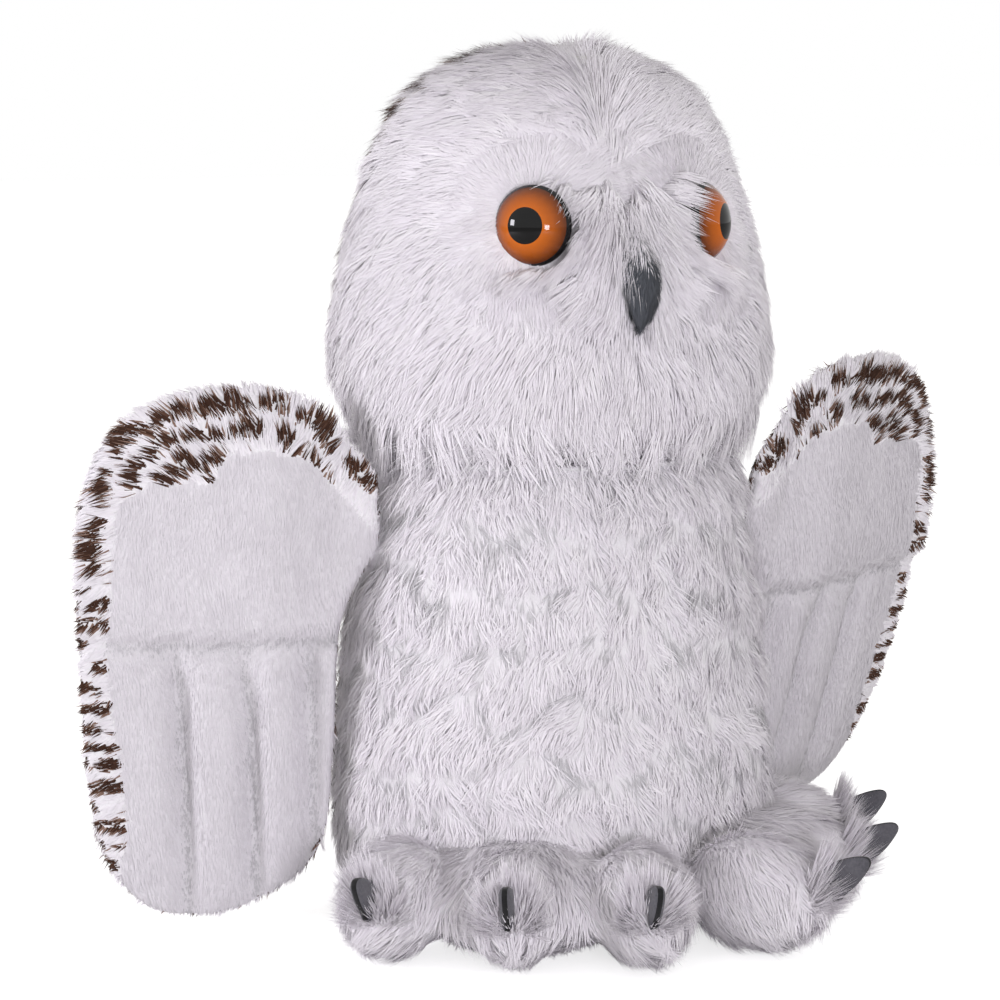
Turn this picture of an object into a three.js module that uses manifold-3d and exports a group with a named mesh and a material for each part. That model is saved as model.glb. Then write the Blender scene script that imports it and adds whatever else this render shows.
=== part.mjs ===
// Plush owl that stands on its base and feet with its wings spread, in millimetres.
// +Z is up and the owl faces -Y, so its own left is +X. The origin is on the floor, on the body's axis.

import * as THREE from "three";
import { mergeVertices } from "three/addons/utils/BufferGeometryUtils.js";
import Module from "manifold-3d";

const wasm = await Module();
wasm.setup();

// Sewing and cutting
const seamGap = 0.3; // clear space where two pieces meet
const fillGap = 0.6; // the same between a cover and its stuffing
const overrun = 6; // how far a cut runs past what it cuts
const floorCut = 0.5; // flat that the weight presses into an underside
const thinnest = 0.8; // least half thickness of a form at its closed ends

// Body, a stuffed pear
const bodyHeight = 150;
const bodyHalfWidth = 73;
const bodyFrontDepth = 69;
const bodyBackDepth = 62;
const bodyWall = 6; // backing and pressed pile
const bodySideSeam = 12; // how far behind the middle the side seams run
const bodySides = 28;
const bodyRings = 12;
const bodyHeightShares = [0, 0.02, 0.08, 0.2, 0.4, 0.6, 0.8, 0.92, 1];
const bodyWidthShares = [0.8, 0.87, 0.955, 1, 0.99, 0.95, 0.9, 0.86, 0.81];

// Linings of the body and head
const liningSides = 20;
const liningRings = 6;

// Head, a tall dome that flares at the cheeks
const headHeight = 127;
const headHalfWidth = 73;
const headFrontDepth = 68;
const headBackDepth = 63;
const headWall = 6;
const headSides = 26;
const headRings = 14;
const headHeightShares = [0, 0.05, 0.12, 0.22, 0.35, 0.5, 0.65, 0.78, 0.88, 0.95, 0.985, 1];
const headWidthShares = [0.8, 0.885, 0.955, 1, 0.985, 0.935, 0.855, 0.765, 0.645, 0.465, 0.28, 0.08];

// Safety eyes, each with a stem and a lock washer
const eyeRadius = 12.2;
const eyeDome = 7.2;
const eyeRim = 1.4;
const eyeSide = 30.5; // off the middle
const eyeAboveNeck = 70.5;
const eyeSplay = 45; // degrees that each eye looks outwards
const eyeTilt = 3; // degrees that it looks upwards
const eyeRecess = 4; // how deep the pile lets it sink
const eyeStemRadius = 2.5;
const eyeStemLength = 13;
const eyeSegments = 16;
const eyeDomeSteps = 7;
const washerRadius = 9.5;
const washerThickness = 1.6;

// Beak, a stuffed hook
const beakAboveNeck = 70; // to its top
const beakLength = 29;
const beakHalfWidth = 5;
const beakHalfDepth = 6.2;
const beakStandOut = 1; // its middle in front of the face
const beakSides = 14;
const beakRings = 9;
const beakLengthShares = [0, 0.12, 0.35, 0.6, 0.85, 1];
const beakWidthShares = [0.3, 0.62, 0.95, 1, 0.62, 0.16];
const beakReachShares = [-0.75, -0.4, 0, 0.3, 0.42, 0.35]; // of its half depth

// Bag of pellets that keeps the owl upright
const pouchHalfWidth = 38;
const pouchHalfHeight = 15;
const pouchSegments = 12;

// Wings, flat pads with a thick upper part and sewn feather channels below it
const wingReach = 89; // from the hinge line to the tip
const wingRise = 36; // above the hinge point
const wingDrop = 135; // below the hinge point
const wingHingeSide = 69.8;
const wingHingeForward = 15;
const wingHingeHeight = 137;
const wingNose = 6; // radius of the rounded root
const wingHalfThickness = 13.5;
const wingGrowthShare = 0.33; // of the reach, by which the wing is fully thick
const wingWall = 2.6;
const wingStations = 18;
const wingSidePoints = 9;
const wingUpperReachShares = [-0.0594, 0.03, 0.12, 0.29, 0.5, 0.7, 0.86, 0.96, 1];
const wingUpperRiseShares = [0.25, 0.5, 0.8, 0.98, 1, 0.88, 0.58, 0, -0.85];
const wingLowerReachShares = [-0.0594, 0.08, 0.12, 0.18, 0.39, 0.63, 0.84, 0.965, 1];
const wingLowerDropShares = [0.13, 0.31, 0.62, 0.84, 0.96, 1, 0.95, 0.74, 0.235];
const featherSeamDropShare = 0.33; // of the drop, where the channels begin
const featherSeamWidth = 5;
const featherHalfShare = 0.74; // feather thickness against the upper pad
const featherCreaseShare = 0.3;
const channelReachShares = [0.19, 0.4, 0.64];
const channelWidth = 5;
const channelDepthShare = 0.62;
const wingSweep = 24; // degrees that each wing points to the back
const wingLeans = {
  left: { back: 17, inward: 3 },
  right: { back: 2, inward: 2 },
};

// How wings and tail round off, in shares of the way from root to tip
const padRootShare = 0.12;
const padRootOffsetShare = 0.02;
const padTipShare = 0.16;
const padTipOffsetShare = 0.005;
const padEdgePower = 0.75;
const padLiningPoints = 5;
const padHollowStart = 2; // stations of solid pad before and after its hollow

// Tail, a short flat pad that trails behind the base
const tailReach = 62;
const tailHalfWidth = 36;
const tailNose = 5;
const tailHalfThickness = 9;
const tailGrowthShare = 0.5; // of the reach, by which the tail is fully thick
const tailWall = 4;
const tailHingeBack = 68;
const tailHingeHeight = 31;
const tailDroop = 20; // degrees below level
const tailStations = 9;
const tailSidePoints = 6;
const tailReachShares = [-0.0893, 0.1, 0.3, 0.52, 0.74, 0.91, 1];
const tailWidthShares = [0.6, 0.7, 0.86, 1, 0.93, 0.58, 0.05];

// Feet, three stuffed toes on an instep, sewn to the front of the body
const ankleSide = 21;
const ankleForward = 34;
const footWall = 5;
const instepLength = 36; // half length
const instepHalfHeight = 19;
const instepForward = 25;
const toeHalfLength = 26;
const toeHalfWidth = 19;
const toeHalfHeight = 19.5;
const toeSegments = 9;
const toeRingShare = 0.6; // rings to segments
const toeLiningSegments = 6;
const toeForward = 42;
const sideToeBack = 5; // how far the outer toes lie behind the middle one
const toeSpacing = 36; // the instep's half width too
const toeFan = 14; // degrees between neighbouring toes
const footAngles = { left: 57, right: 29 }; // degrees that each foot turns out

// Claws, flat fins of dark cloth with their root sunk in the toe
const clawThickness = 4.4;
const clawBevel = 0.9;
const clawHeight = 13;
const clawBase = 10.5;
const clawRoot = 4.5; // length inside the pile
const clawLean = 48; // degrees that it points forwards from upright
const clawReachShare = 0.95; // of the toe's half length, where it stands
const clawCurveSteps = 4;
const clawBevelSteps = 1;

const sides = { left: 1, right: -1 };

const colors = {
  whitePlush: 0xe6e1e8,
  whiteVelour: 0xdad5dc,
  printedPlush: 0xd9d2d2,
  stuffing: 0xf2f1ee,
  iris: 0xc06a1e,
  washer: 0xd8d8d6,
  beakCloth: 0x5f6266,
  clawCloth: 0x4c4b50,
  pouchCloth: 0xcfcac0,
};

function finish(color, roughness) {
  return new THREE.MeshStandardMaterial({ color, roughness, metalness: 0 });
}

const materials = {
  whitePlush: finish(colors.whitePlush, 0.95),
  whiteVelour: finish(colors.whiteVelour, 0.9),
  printedPlush: finish(colors.printedPlush, 0.95),
  stuffing: finish(colors.stuffing, 1),
  iris: finish(colors.iris, 0.12),
  washer: finish(colors.washer, 0.5),
  beakCloth: finish(colors.beakCloth, 0.8),
  clawCloth: finish(colors.clawCloth, 0.8),
  pouchCloth: finish(colors.pouchCloth, 0.9),
};

// A closed mesh as a solid for joining and cutting, turned right side out if it is inside out.
function solidOf(geometry, matrix) {
  const bare = geometry.clone();
  bare.deleteAttribute("normal");
  bare.deleteAttribute("uv");
  if (matrix) bare.applyMatrix4(matrix);
  const merged = mergeVertices(bare);
  const corners = new Uint32Array(merged.index.array);
  const points = merged.attributes.position.array;
  if (signedVolume(points, corners) < 0) flipFaces(corners);
  return new wasm.Manifold(
    new wasm.Mesh({ numProp: 3, vertProperties: points, triVerts: corners }),
  );
}

function signedVolume(points, corners) {
  const a = new THREE.Vector3();
  const b = new THREE.Vector3();
  const c = new THREE.Vector3();
  let sum = 0;
  for (let i = 0; i < corners.length; i += 3) {
    a.fromArray(points, 3 * corners[i]);
    b.fromArray(points, 3 * corners[i + 1]);
    c.fromArray(points, 3 * corners[i + 2]);
    sum += a.dot(b.cross(c));
  }
  return sum;
}

function flipFaces(corners) {
  for (let i = 0; i < corners.length; i += 3) {
    const first = corners[i];
    corners[i] = corners[i + 1];
    corners[i + 1] = first;
  }
}

function geometryOf(solid) {
  const mesh = solid.getMesh();
  const points = new Float32Array(mesh.numVert * 3);
  for (let i = 0; i < mesh.numVert; i++) {
    const start = i * mesh.numProp;
    points.set(mesh.vertProperties.subarray(start, start + 3), i * 3);
  }
  const geometry = new THREE.BufferGeometry();
  geometry.setAttribute("position", new THREE.BufferAttribute(points, 3));
  geometry.setIndex(new THREE.BufferAttribute(new Uint32Array(mesh.triVerts), 1));
  geometry.computeVertexNormals();
  return geometry;
}

function node(name, solid, material) {
  const mesh = new THREE.Mesh(geometryOf(solid), material);
  mesh.name = name;
  return mesh;
}

// A closed skin through rings of equally many points, with a fan over each end ring.
function ringLoft(rings) {
  const around = rings[0].length;
  const last = rings.length - 1;
  const points = rings.flat().flatMap((p) => [p.x, p.y, p.z]);
  const corners = [];
  for (let r = 0; r < last; r++) {
    for (let k = 0; k < around; k++) {
      const next = (k + 1) % around;
      const a = r * around + k;
      const b = r * around + next;
      corners.push(a, b, b + around, a, b + around, a + around);
    }
  }
  [0, last].forEach((r, end) => {
    const middle = new THREE.Vector3();
    rings[r].forEach((p) => middle.addScaledVector(p, 1 / around));
    const tip = points.length / 3;
    points.push(middle.x, middle.y, middle.z);
    for (let k = 0; k < around; k++) {
      const a = r * around + k;
      const b = r * around + ((k + 1) % around);
      if (end === 0) corners.push(b, a, tip);
      else corners.push(a, b, tip);
    }
  });
  const geometry = new THREE.BufferGeometry();
  geometry.setAttribute("position", new THREE.Float32BufferAttribute(points, 3));
  geometry.setIndex(corners);
  return geometry;
}

// A smooth curve through the points that two lists of shares give, each scaled by its own size.
function shareCurve(alongShares, along, acrossShares, across) {
  const points = alongShares.map(
    (share, i) => new THREE.Vector2(share * along, acrossShares[i] * across),
  );
  return new THREE.SplineCurve(points);
}

function evenSteps(count) {
  return Array.from({ length: count + 1 }, (_, i) => i / count);
}

function box(low, high) {
  const size = new THREE.Vector3().subVectors(high, low);
  const middle = new THREE.Vector3().addVectors(low, high).multiplyScalar(0.5);
  const geometry = new THREE.BoxGeometry(size.x, size.y, size.z);
  return solidOf(geometry.translate(middle.x, middle.y, middle.z));
}

// Everything on one side of a plane across an axis, as a box that reaches past the whole owl.
function halfSpace(axis, limit, direction) {
  const reach = bodyHeight + headHeight + wingReach;
  const low = new THREE.Vector3(-reach, -reach, -reach);
  const high = new THREE.Vector3(reach, reach, reach);
  if (direction > 0) low[axis] = limit;
  else high[axis] = limit;
  return box(low, high);
}

// Body and head: upright rings, wider to the front than to the back

function roundRing(height, halfWidth, frontDepth, backDepth, sides) {
  return Array.from({ length: sides }, (_, k) => {
    const angle = (2 * Math.PI * k) / sides;
    const depth = Math.sin(angle) < 0 ? frontDepth : backDepth;
    const x = halfWidth * Math.cos(angle);
    return new THREE.Vector3(x, depth * Math.sin(angle), height);
  });
}

const halvings = 30; // of the interval in which a height is looked up
const bodyCurve = shareCurve(bodyHeightShares, bodyHeight, bodyWidthShares, bodyHalfWidth);
const headCurve = shareCurve(headHeightShares, headHeight, headWidthShares, headHalfWidth);

// One upright form, or its lining when it is drawn in by an inset.
function uprightForm(spec, inset, ends) {
  const rings = evenSteps(spec.rings).map((t) => {
    const point = spec.curve.getPoint(t);
    const half = Math.max(point.y - inset, thinnest);
    const front = half * (spec.frontDepth / spec.halfWidth);
    const back = half * (spec.backDepth / spec.halfWidth);
    const height = spec.floor + Math.min(point.x, spec.height - inset * spec.closedTop);
    return roundRing(height, half, front, back, spec.sides);
  });
  const first = rings[0].map((p) => p.clone().setZ(spec.floor + ends[0]));
  const last = rings.at(-1).map((p) => p.clone().setZ(spec.floor + spec.height + ends[1]));
  const all = [...rings];
  if (ends[0] < 0) all.unshift(first);
  if (ends[1] > 0) all.push(last);
  return solidOf(ringLoft(all));
}

const bodySpec = {
  curve: bodyCurve,
  floor: 0,
  height: bodyHeight,
  halfWidth: bodyHalfWidth,
  frontDepth: bodyFrontDepth,
  backDepth: bodyBackDepth,
  sides: bodySides,
  rings: bodyRings,
  closedTop: 0,
};
const headSpec = {
  curve: headCurve,
  floor: bodyHeight + seamGap,
  height: headHeight,
  halfWidth: headHalfWidth,
  frontDepth: headFrontDepth,
  backDepth: headBackDepth,
  sides: headSides,
  rings: headRings,
  closedTop: 1,
};

function lining(spec, inset, ends) {
  return uprightForm({ ...spec, sides: liningSides, rings: liningRings }, inset, ends);
}

const bodyForm = uprightForm(bodySpec, 0, [0, 0]);
const headForm = uprightForm(headSpec, 0, [0, 0]);
const bodyClearance = uprightForm(bodySpec, -seamGap, [-overrun, seamGap]);

// A skin parted at its side seams into the panel in front and the one behind.
function partedPanels(skin, seam) {
  const front = skin.intersect(halfSpace("y", seam - seamGap / 2, -1));
  const back = skin.intersect(halfSpace("y", seam + seamGap / 2, 1));
  return { front, back };
}

function makeBody() {
  const group = new THREE.Group();
  const skin = bodyForm.subtract(lining(bodySpec, bodyWall, [-overrun, overrun]));
  const { front, back } = partedPanels(skin, bodySideSeam);
  const baseHalf = bodyCurve.getPoint(0).y - bodyWall - seamGap;
  const baseRing = (height) =>
    roundRing(
      height,
      baseHalf,
      baseHalf * (bodyFrontDepth / bodyHalfWidth),
      baseHalf * (bodyBackDepth / bodyHalfWidth),
      liningSides,
    );
  const base = solidOf(ringLoft([baseRing(0), baseRing(bodyWall)]));
  const pouchFloor = bodyWall + seamGap;
  const pouch = pelletPouch(pouchFloor, 0);
  const aboveBase = halfSpace("z", pouchFloor, 1);
  const fill = lining(bodySpec, bodyWall + fillGap, [0, 0]).intersect(aboveBase);
  group.add(node("belly_panel", front, materials.whitePlush));
  group.add(node("back_panel", back, materials.printedPlush));
  group.add(node("base_panel", base, materials.whitePlush));
  group.add(node("pellet_pouch", pouch, materials.pouchCloth));
  group.add(
    node("body_stuffing", fill.subtract(pelletPouch(pouchFloor, seamGap)), materials.stuffing),
  );
  return group;
}

// The pouch sags flat on the base; its pocket in the stuffing is larger by grow.
function pelletPouch(floor, grow) {
  const sphere = new THREE.SphereGeometry(1, pouchSegments, pouchSegments / 2);
  const wide = pouchHalfWidth + grow;
  const tall = pouchHalfHeight + grow;
  sphere.rotateX(Math.PI / 2);
  sphere.scale(wide, wide, tall);
  sphere.translate(0, 0, floor + pouchHalfHeight - floorCut);
  const flatAt = grow > 0 ? floor - overrun : floor;
  return solidOf(sphere).intersect(halfSpace("z", flatAt, 1));
}

// Eyes: each is turned about its own axis, which points out of the face

function eyePlacement(side) {
  const splay = side * THREE.MathUtils.degToRad(eyeSplay);
  const tilt = THREE.MathUtils.degToRad(eyeTilt);
  const out = new THREE.Vector3(
    Math.sin(splay) * Math.cos(tilt),
    -Math.cos(splay) * Math.cos(tilt),
    Math.sin(tilt),
  );
  const half = halfWidthAt(headCurve, eyeAboveNeck);
  const depth = half * (headFrontDepth / headHalfWidth);
  const forward = depth * Math.sqrt(1 - (eyeSide / half) ** 2);
  const spot = new THREE.Vector3(side * eyeSide, -forward, headSpec.floor + eyeAboveNeck);
  const turn = new THREE.Quaternion().setFromUnitVectors(new THREE.Vector3(0, 0, 1), out);
  return new THREE.Matrix4().compose(spot, turn, new THREE.Vector3(1, 1, 1));
}

// Half width of an upright form at a height, read off its curve.
function halfWidthAt(curve, height) {
  let low = 0;
  let high = 1;
  for (let step = 0; step < halvings; step++) {
    const middle = (low + high) / 2;
    if (curve.getPoint(middle).x < height) low = middle;
    else high = middle;
  }
  return curve.getPoint(low).y;
}

function disc(radius, low, high) {
  const geometry = new THREE.CylinderGeometry(radius, radius, high - low, eyeSegments);
  geometry.rotateX(Math.PI / 2);
  return geometry.translate(0, 0, (low + high) / 2);
}

// Domed disc with a thin rim and a stem behind it; the dome is a cap of a sphere.
function eyeGeometry() {
  const seat = seamGap - eyeRecess;
  const profile = [new THREE.Vector2(0, seat - eyeStemLength)];
  profile.push(new THREE.Vector2(eyeStemRadius, seat - eyeStemLength));
  profile.push(new THREE.Vector2(eyeStemRadius, seat));
  profile.push(new THREE.Vector2(eyeRadius, seat));
  profile.push(new THREE.Vector2(eyeRadius, seat + eyeRim));
  const capRadius = (eyeRadius ** 2 + eyeDome ** 2) / (2 * eyeDome);
  const halfAngle = Math.asin(eyeRadius / capRadius);
  evenSteps(eyeDomeSteps)
    .slice(1)
    .forEach((t) => {
      const angle = halfAngle * (1 - t);
      const rise = capRadius * (Math.cos(angle) - Math.cos(halfAngle));
      const reach = t === 1 ? 0 : capRadius * Math.sin(angle);
      profile.push(new THREE.Vector2(reach, seat + eyeRim + rise));
    });
  return new THREE.LatheGeometry(profile, eyeSegments).rotateX(Math.PI / 2);
}

const washerFront = -headWall - seamGap;

function washerSolid() {
  const body = solidOf(disc(washerRadius, washerFront - washerThickness, washerFront));
  const bore = eyeStemRadius + seamGap;
  return body.subtract(
    solidOf(disc(bore, washerFront - washerThickness - overrun, washerFront + overrun)),
  );
}

// Everything that the cover and the stuffing give way to around one eye.
function eyeRoom() {
  const recess = solidOf(disc(eyeRadius + seamGap, -eyeRecess, eyeDome + overrun));
  const stem = solidOf(disc(eyeStemRadius + seamGap, -eyeRecess - eyeStemLength, overrun));
  const washerBack = washerFront - washerThickness - seamGap;
  const pocket = solidOf(disc(washerRadius + seamGap, washerBack, washerFront + seamGap));
  return recess.add(stem).add(pocket);
}

function placedSolid(solid, matrix) {
  return solidOf(geometryOf(solid), matrix);
}

// Beak: level rings down its length, which lean forwards and then hook in
function beakSolid(grow) {
  const middle = beakAboveNeck - beakLength / 2;
  const face = halfWidthAt(headCurve, middle) * (headFrontDepth / headHalfWidth);
  const top = headSpec.floor + beakAboveNeck;
  const widths = shareCurve(beakLengthShares, beakLength, beakWidthShares, beakHalfWidth);
  const reaches = shareCurve(beakLengthShares, beakLength, beakReachShares, beakHalfDepth);
  const rings = evenSteps(beakRings).map((t) => {
    const width = widths.getPoint(t);
    const half = width.y + grow;
    const deep = width.y * (beakHalfDepth / beakHalfWidth) + grow;
    const forward = face + beakStandOut + reaches.getPoint(t).y;
    const end = t === 0 ? grow : t === 1 ? -grow : 0;
    return roundRing(top - width.x + end, half, deep, deep, beakSides).map((p) =>
      p.setY(p.y - forward),
    );
  });
  return solidOf(ringLoft(rings));
}

function makeHead() {
  const group = new THREE.Group();
  let skin = headForm.subtract(lining(headSpec, headWall, [-overrun, 0]));
  let fill = lining(headSpec, headWall + fillGap, [0, 0]);
  const beakRoom = beakSolid(seamGap);
  skin = skin.subtract(beakRoom);
  fill = fill.subtract(beakRoom);
  Object.entries(sides).forEach(([name, side]) => {
    const placement = eyePlacement(side);
    const room = placedSolid(eyeRoom(), placement);
    skin = skin.subtract(room);
    fill = fill.subtract(room);
    group.add(node("eye_" + name, solidOf(eyeGeometry(), placement), materials.iris));
    group.add(
      node("eye_washer_" + name, placedSolid(washerSolid(), placement), materials.washer),
    );
  });
  const { front, back } = partedPanels(skin, bodySideSeam);
  group.add(node("head_face_panel", front, materials.whitePlush));
  group.add(node("head_back_panel", back, materials.printedPlush));
  group.add(node("head_stuffing", fill, materials.stuffing));
  group.add(node("beak", beakSolid(0), materials.beakCloth));
  return group;
}

// Flat pads: x runs outwards from the hinge line, z up the pad and y through it.
// A ring goes down one face and up the other, and its thickness rounds off at every edge.

function padRing(pad, t, inset, pull = 0, least = 0, shift = 0) {
  const upper = pad.upper.getPoint(t);
  const lower = pad.lower.getPoint(t);
  const count = pad.sidePoints;
  const edge = endShare(t);
  const ring = [];
  [1, -1].forEach((face) => {
    for (let k = 0; k < count; k++) {
      const along = face > 0 ? k / count : 1 - k / count;
      const lane = (1 - Math.cos(Math.PI * along)) / 2; // closer together at the edges
      const x = THREE.MathUtils.lerp(upper.x, lower.x, lane);
      const z = THREE.MathUtils.lerp(upper.y, lower.y, lane);
      const round = Math.sin(Math.PI * along) ** padEdgePower;
      const full = pad.halfThickness(x, z) * edge * round;
      const half = Math.max(full - inset, least * Math.sin(Math.PI * along));
      ring.push(new THREE.Vector3(x + shift, face * half, z - pull * (1 - 2 * lane)));
    }
  });
  return ring;
}

// Share of the full thickness along the pad: round at the root and at the tip.
function endShare(t) {
  const root = Math.min(1, (t + padRootOffsetShare) / padRootShare);
  const tip = Math.min(1, (1 - t + padTipOffsetShare) / padTipShare);
  return Math.sqrt(1 - (1 - root) ** 2) * Math.sqrt(1 - (1 - tip) ** 2);
}

function bump(distance, width) {
  return Math.exp(-((distance / width) ** 2));
}

const wingPad = {
  upper: shareCurve(wingUpperReachShares, wingReach, wingUpperRiseShares, wingRise),
  lower: shareCurve(wingLowerReachShares, wingReach, wingLowerDropShares, -wingDrop),
  stations: wingStations,
  sidePoints: wingSidePoints,
  nose: wingNose,
  halfThickness: wingHalfThicknessAt,
};

// The root is no thicker than its nose, and the pad dips at the feather seam and channels.
function wingHalfThicknessAt(x, z) {
  const growth = THREE.MathUtils.smoothstep(x, wingNose, wingReach * wingGrowthShare);
  const pad = THREE.MathUtils.lerp(wingNose, wingHalfThickness, growth);
  const seam = -wingDrop * featherSeamDropShare;
  const below = THREE.MathUtils.smoothstep(seam - z, -featherSeamWidth, featherSeamWidth);
  const dip = 1 - (1 - featherHalfShare) * below;
  const crease = 1 - featherCreaseShare * bump(z - seam, featherSeamWidth);
  const groove = channelReachShares.reduce(
    (least, share) => least - channelDepthShare * bump(x - share * wingReach, channelWidth) * below,
    1,
  );
  return pad * dip * crease * groove;
}

const tailPad = {
  upper: shareCurve(tailReachShares, tailReach, tailWidthShares, tailHalfWidth),
  lower: shareCurve(tailReachShares, tailReach, tailWidthShares, -tailHalfWidth),
  stations: tailStations,
  sidePoints: tailSidePoints,
  nose: tailNose,
  halfThickness: (x) => {
    const growth = THREE.MathUtils.smoothstep(x, tailNose, tailReach * tailGrowthShare);
    return THREE.MathUtils.lerp(tailNose, tailHalfThickness, growth);
  },
};

function padForm(pad) {
  return solidOf(ringLoft(evenSteps(pad.stations).map((t) => padRing(pad, t, 0))));
}

// The hollow is open through the root, and the filling lies in it with a little room.
function hollowSteps(pad) {
  return evenSteps(pad.stations).slice(padHollowStart, -padHollowStart);
}

function padHollow(pad, wall) {
  const coarse = { ...pad, sidePoints: padLiningPoints };
  const steps = hollowSteps(pad);
  const rings = steps.map((t) => padRing(coarse, t, wall, wall, thinnest));
  rings.unshift(padRing(coarse, steps[0], wall, wall, thinnest, -pad.nose - overrun));
  return solidOf(ringLoft(rings));
}

function padFilling(pad, wall) {
  const coarse = { ...pad, sidePoints: padLiningPoints };
  const inset = wall + fillGap;
  const least = thinnest - fillGap;
  const steps = hollowSteps(pad);
  const rings = steps.map((t) => {
    const shift = t === steps[0] ? fillGap : t === steps.at(-1) ? -fillGap : 0;
    return padRing(coarse, t, inset, wall, least, shift);
  });
  return solidOf(ringLoft(rings));
}

// The two sewn faces of a pad and its filling, named after the pad.
function makePad(pad, wall, name, faces) {
  const group = new THREE.Group();
  const skin = padForm(pad).subtract(padHollow(pad, wall));
  const back = skin.intersect(halfSpace("y", seamGap / 2, 1));
  const front = skin.intersect(halfSpace("y", -seamGap / 2, -1));
  group.add(node(name + "_" + faces.back.label, back, faces.back.material));
  group.add(node(name + "_" + faces.front.label, front, faces.front.material));
  group.add(node(name + "_stuffing", padFilling(pad, wall), materials.stuffing));
  return group;
}

function makeWing(name) {
  const lean = wingLeans[name];
  const wing = makePad(wingPad, wingWall, "wing_" + name, {
    back: { label: "print_panel", material: materials.printedPlush },
    front: { label: "velour_panel", material: materials.whiteVelour },
  });
  wing.rotation.set(
    THREE.MathUtils.degToRad(lean.back),
    THREE.MathUtils.degToRad(lean.inward),
    THREE.MathUtils.degToRad(wingSweep),
  );
  wing.position.set(wingHingeSide, -wingHingeForward, wingHingeHeight);
  const mirror = new THREE.Group();
  mirror.scale.x = sides[name];
  mirror.add(wing);
  return mirror;
}

function makeTail() {
  const tail = makePad(tailPad, tailWall, "tail", {
    back: { label: "print_panel", material: materials.printedPlush },
    front: { label: "white_panel", material: materials.whitePlush },
  });
  tail.rotation.set(Math.PI / 2, 0, 0);
  const turned = new THREE.Group();
  turned.add(tail);
  turned.rotation.set(0, THREE.MathUtils.degToRad(tailDroop), Math.PI / 2, "ZYX");
  turned.position.set(0, tailHingeBack, tailHingeHeight);
  return turned;
}

// Feet: x runs to the owl's left across the foot, -y towards the toes

function ellipsoid(halfSize, grow, segments) {
  const sphere = new THREE.SphereGeometry(1, segments, Math.round(toeRingShare * segments));
  sphere.rotateX(Math.PI / 2);
  return sphere.scale(halfSize.x - grow, halfSize.y - grow, halfSize.z - grow);
}

// Where each toe lies across the foot, from -1 at the owl's right side to 1 at its left.
const toeLanes = [-1, 0, 1];

function toeMatrix(lane) {
  const turn = THREE.MathUtils.degToRad(lane * toeFan);
  const matrix = new THREE.Matrix4().makeRotationZ(turn);
  const forward = toeForward - Math.abs(lane) * sideToeBack;
  return matrix.setPosition(lane * toeSpacing, -forward, toeHalfHeight - floorCut);
}

function footForm(inset) {
  const toe = new THREE.Vector3(toeHalfWidth, toeHalfLength, toeHalfHeight);
  const instep = new THREE.Vector3(toeSpacing, instepLength, instepHalfHeight);
  const segments = inset > 0 ? toeLiningSegments : toeSegments;
  const heel = ellipsoid(instep, inset, segments);
  heel.translate(0, -instepForward, instepHalfHeight - floorCut);
  let form = solidOf(heel);
  toeLanes.forEach((lane) => {
    form = form.add(solidOf(ellipsoid(toe, inset, segments), toeMatrix(lane)));
  });
  return form.intersect(halfSpace("z", 0, 1));
}

// Side view of a claw: a leaf with a straight root, a full back and a hollowed front.
function clawGeometry(grow) {
  const half = clawBase / 2 + grow;
  const tip = clawHeight + grow;
  const shape = new THREE.Shape();
  shape.moveTo(-half, -clawRoot - grow);
  shape.lineTo(half, -clawRoot - grow);
  shape.lineTo(half, 0);
  shape.quadraticCurveTo(half, tip / 2, half / 2, tip);
  shape.quadraticCurveTo(-half / 4, tip, -half, 0);
  const core = clawThickness + 2 * grow - 2 * clawBevel;
  const geometry = new THREE.ExtrudeGeometry(shape, {
    depth: core,
    bevelThickness: clawBevel,
    bevelSize: clawBevel,
    bevelOffset: -clawBevel,
    bevelSegments: clawBevelSteps,
    curveSegments: clawCurveSteps,
  });
  geometry.translate(0, 0, -core / 2);
  return geometry.applyMatrix4(
    new THREE.Matrix4().makeBasis(
      new THREE.Vector3(0, -1, 0),
      new THREE.Vector3(0, 0, 1),
      new THREE.Vector3(-1, 0, 0),
    ),
  );
}

function clawMatrix(lane) {
  const lean = new THREE.Matrix4().makeRotationX(THREE.MathUtils.degToRad(clawLean));
  const forward = clawReachShare * toeHalfLength;
  const rise = Math.sqrt(1 - clawReachShare ** 2) * toeHalfHeight;
  const stand = new THREE.Matrix4().setPosition(0, -forward, rise);
  return toeMatrix(lane).multiply(stand).multiply(lean);
}

function makeFoot(name) {
  const side = sides[name];
  const splay = side * THREE.MathUtils.degToRad(footAngles[name]);
  const placement = new THREE.Matrix4().makeRotationZ(splay);
  placement.setPosition(side * ankleSide, -ankleForward, 0);
  const claws = toeLanes.map((lane) => solidOf(clawGeometry(0), clawMatrix(lane)));
  let cover = footForm(0).subtract(footForm(footWall));
  toeLanes.forEach((lane) => {
    cover = cover.subtract(solidOf(clawGeometry(seamGap), clawMatrix(lane)));
  });
  const fill = footForm(footWall + fillGap);
  const trimmed = (solid) => placedSolid(solid, placement).subtract(bodyClearance);
  const group = new THREE.Group();
  group.add(node("foot_" + name + "_cover", trimmed(cover), materials.whitePlush));
  group.add(node("foot_" + name + "_stuffing", trimmed(fill), materials.stuffing));
  claws.forEach((claw, i) => {
    const place = { [-side]: "inner", 0: "middle", [side]: "outer" }[toeLanes[i]];
    const label = "claw_" + name + "_" + place;
    group.add(node(label, placedSolid(claw, placement), materials.clawCloth));
  });
  return group;
}

const owl = new THREE.Group();
owl.add(makeBody());
owl.add(makeHead());
Object.keys(sides).forEach((name) => {
  owl.add(makeWing(name));
  owl.add(makeFoot(name));
});
owl.add(makeTail());

export default owl;
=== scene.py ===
import math

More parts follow.
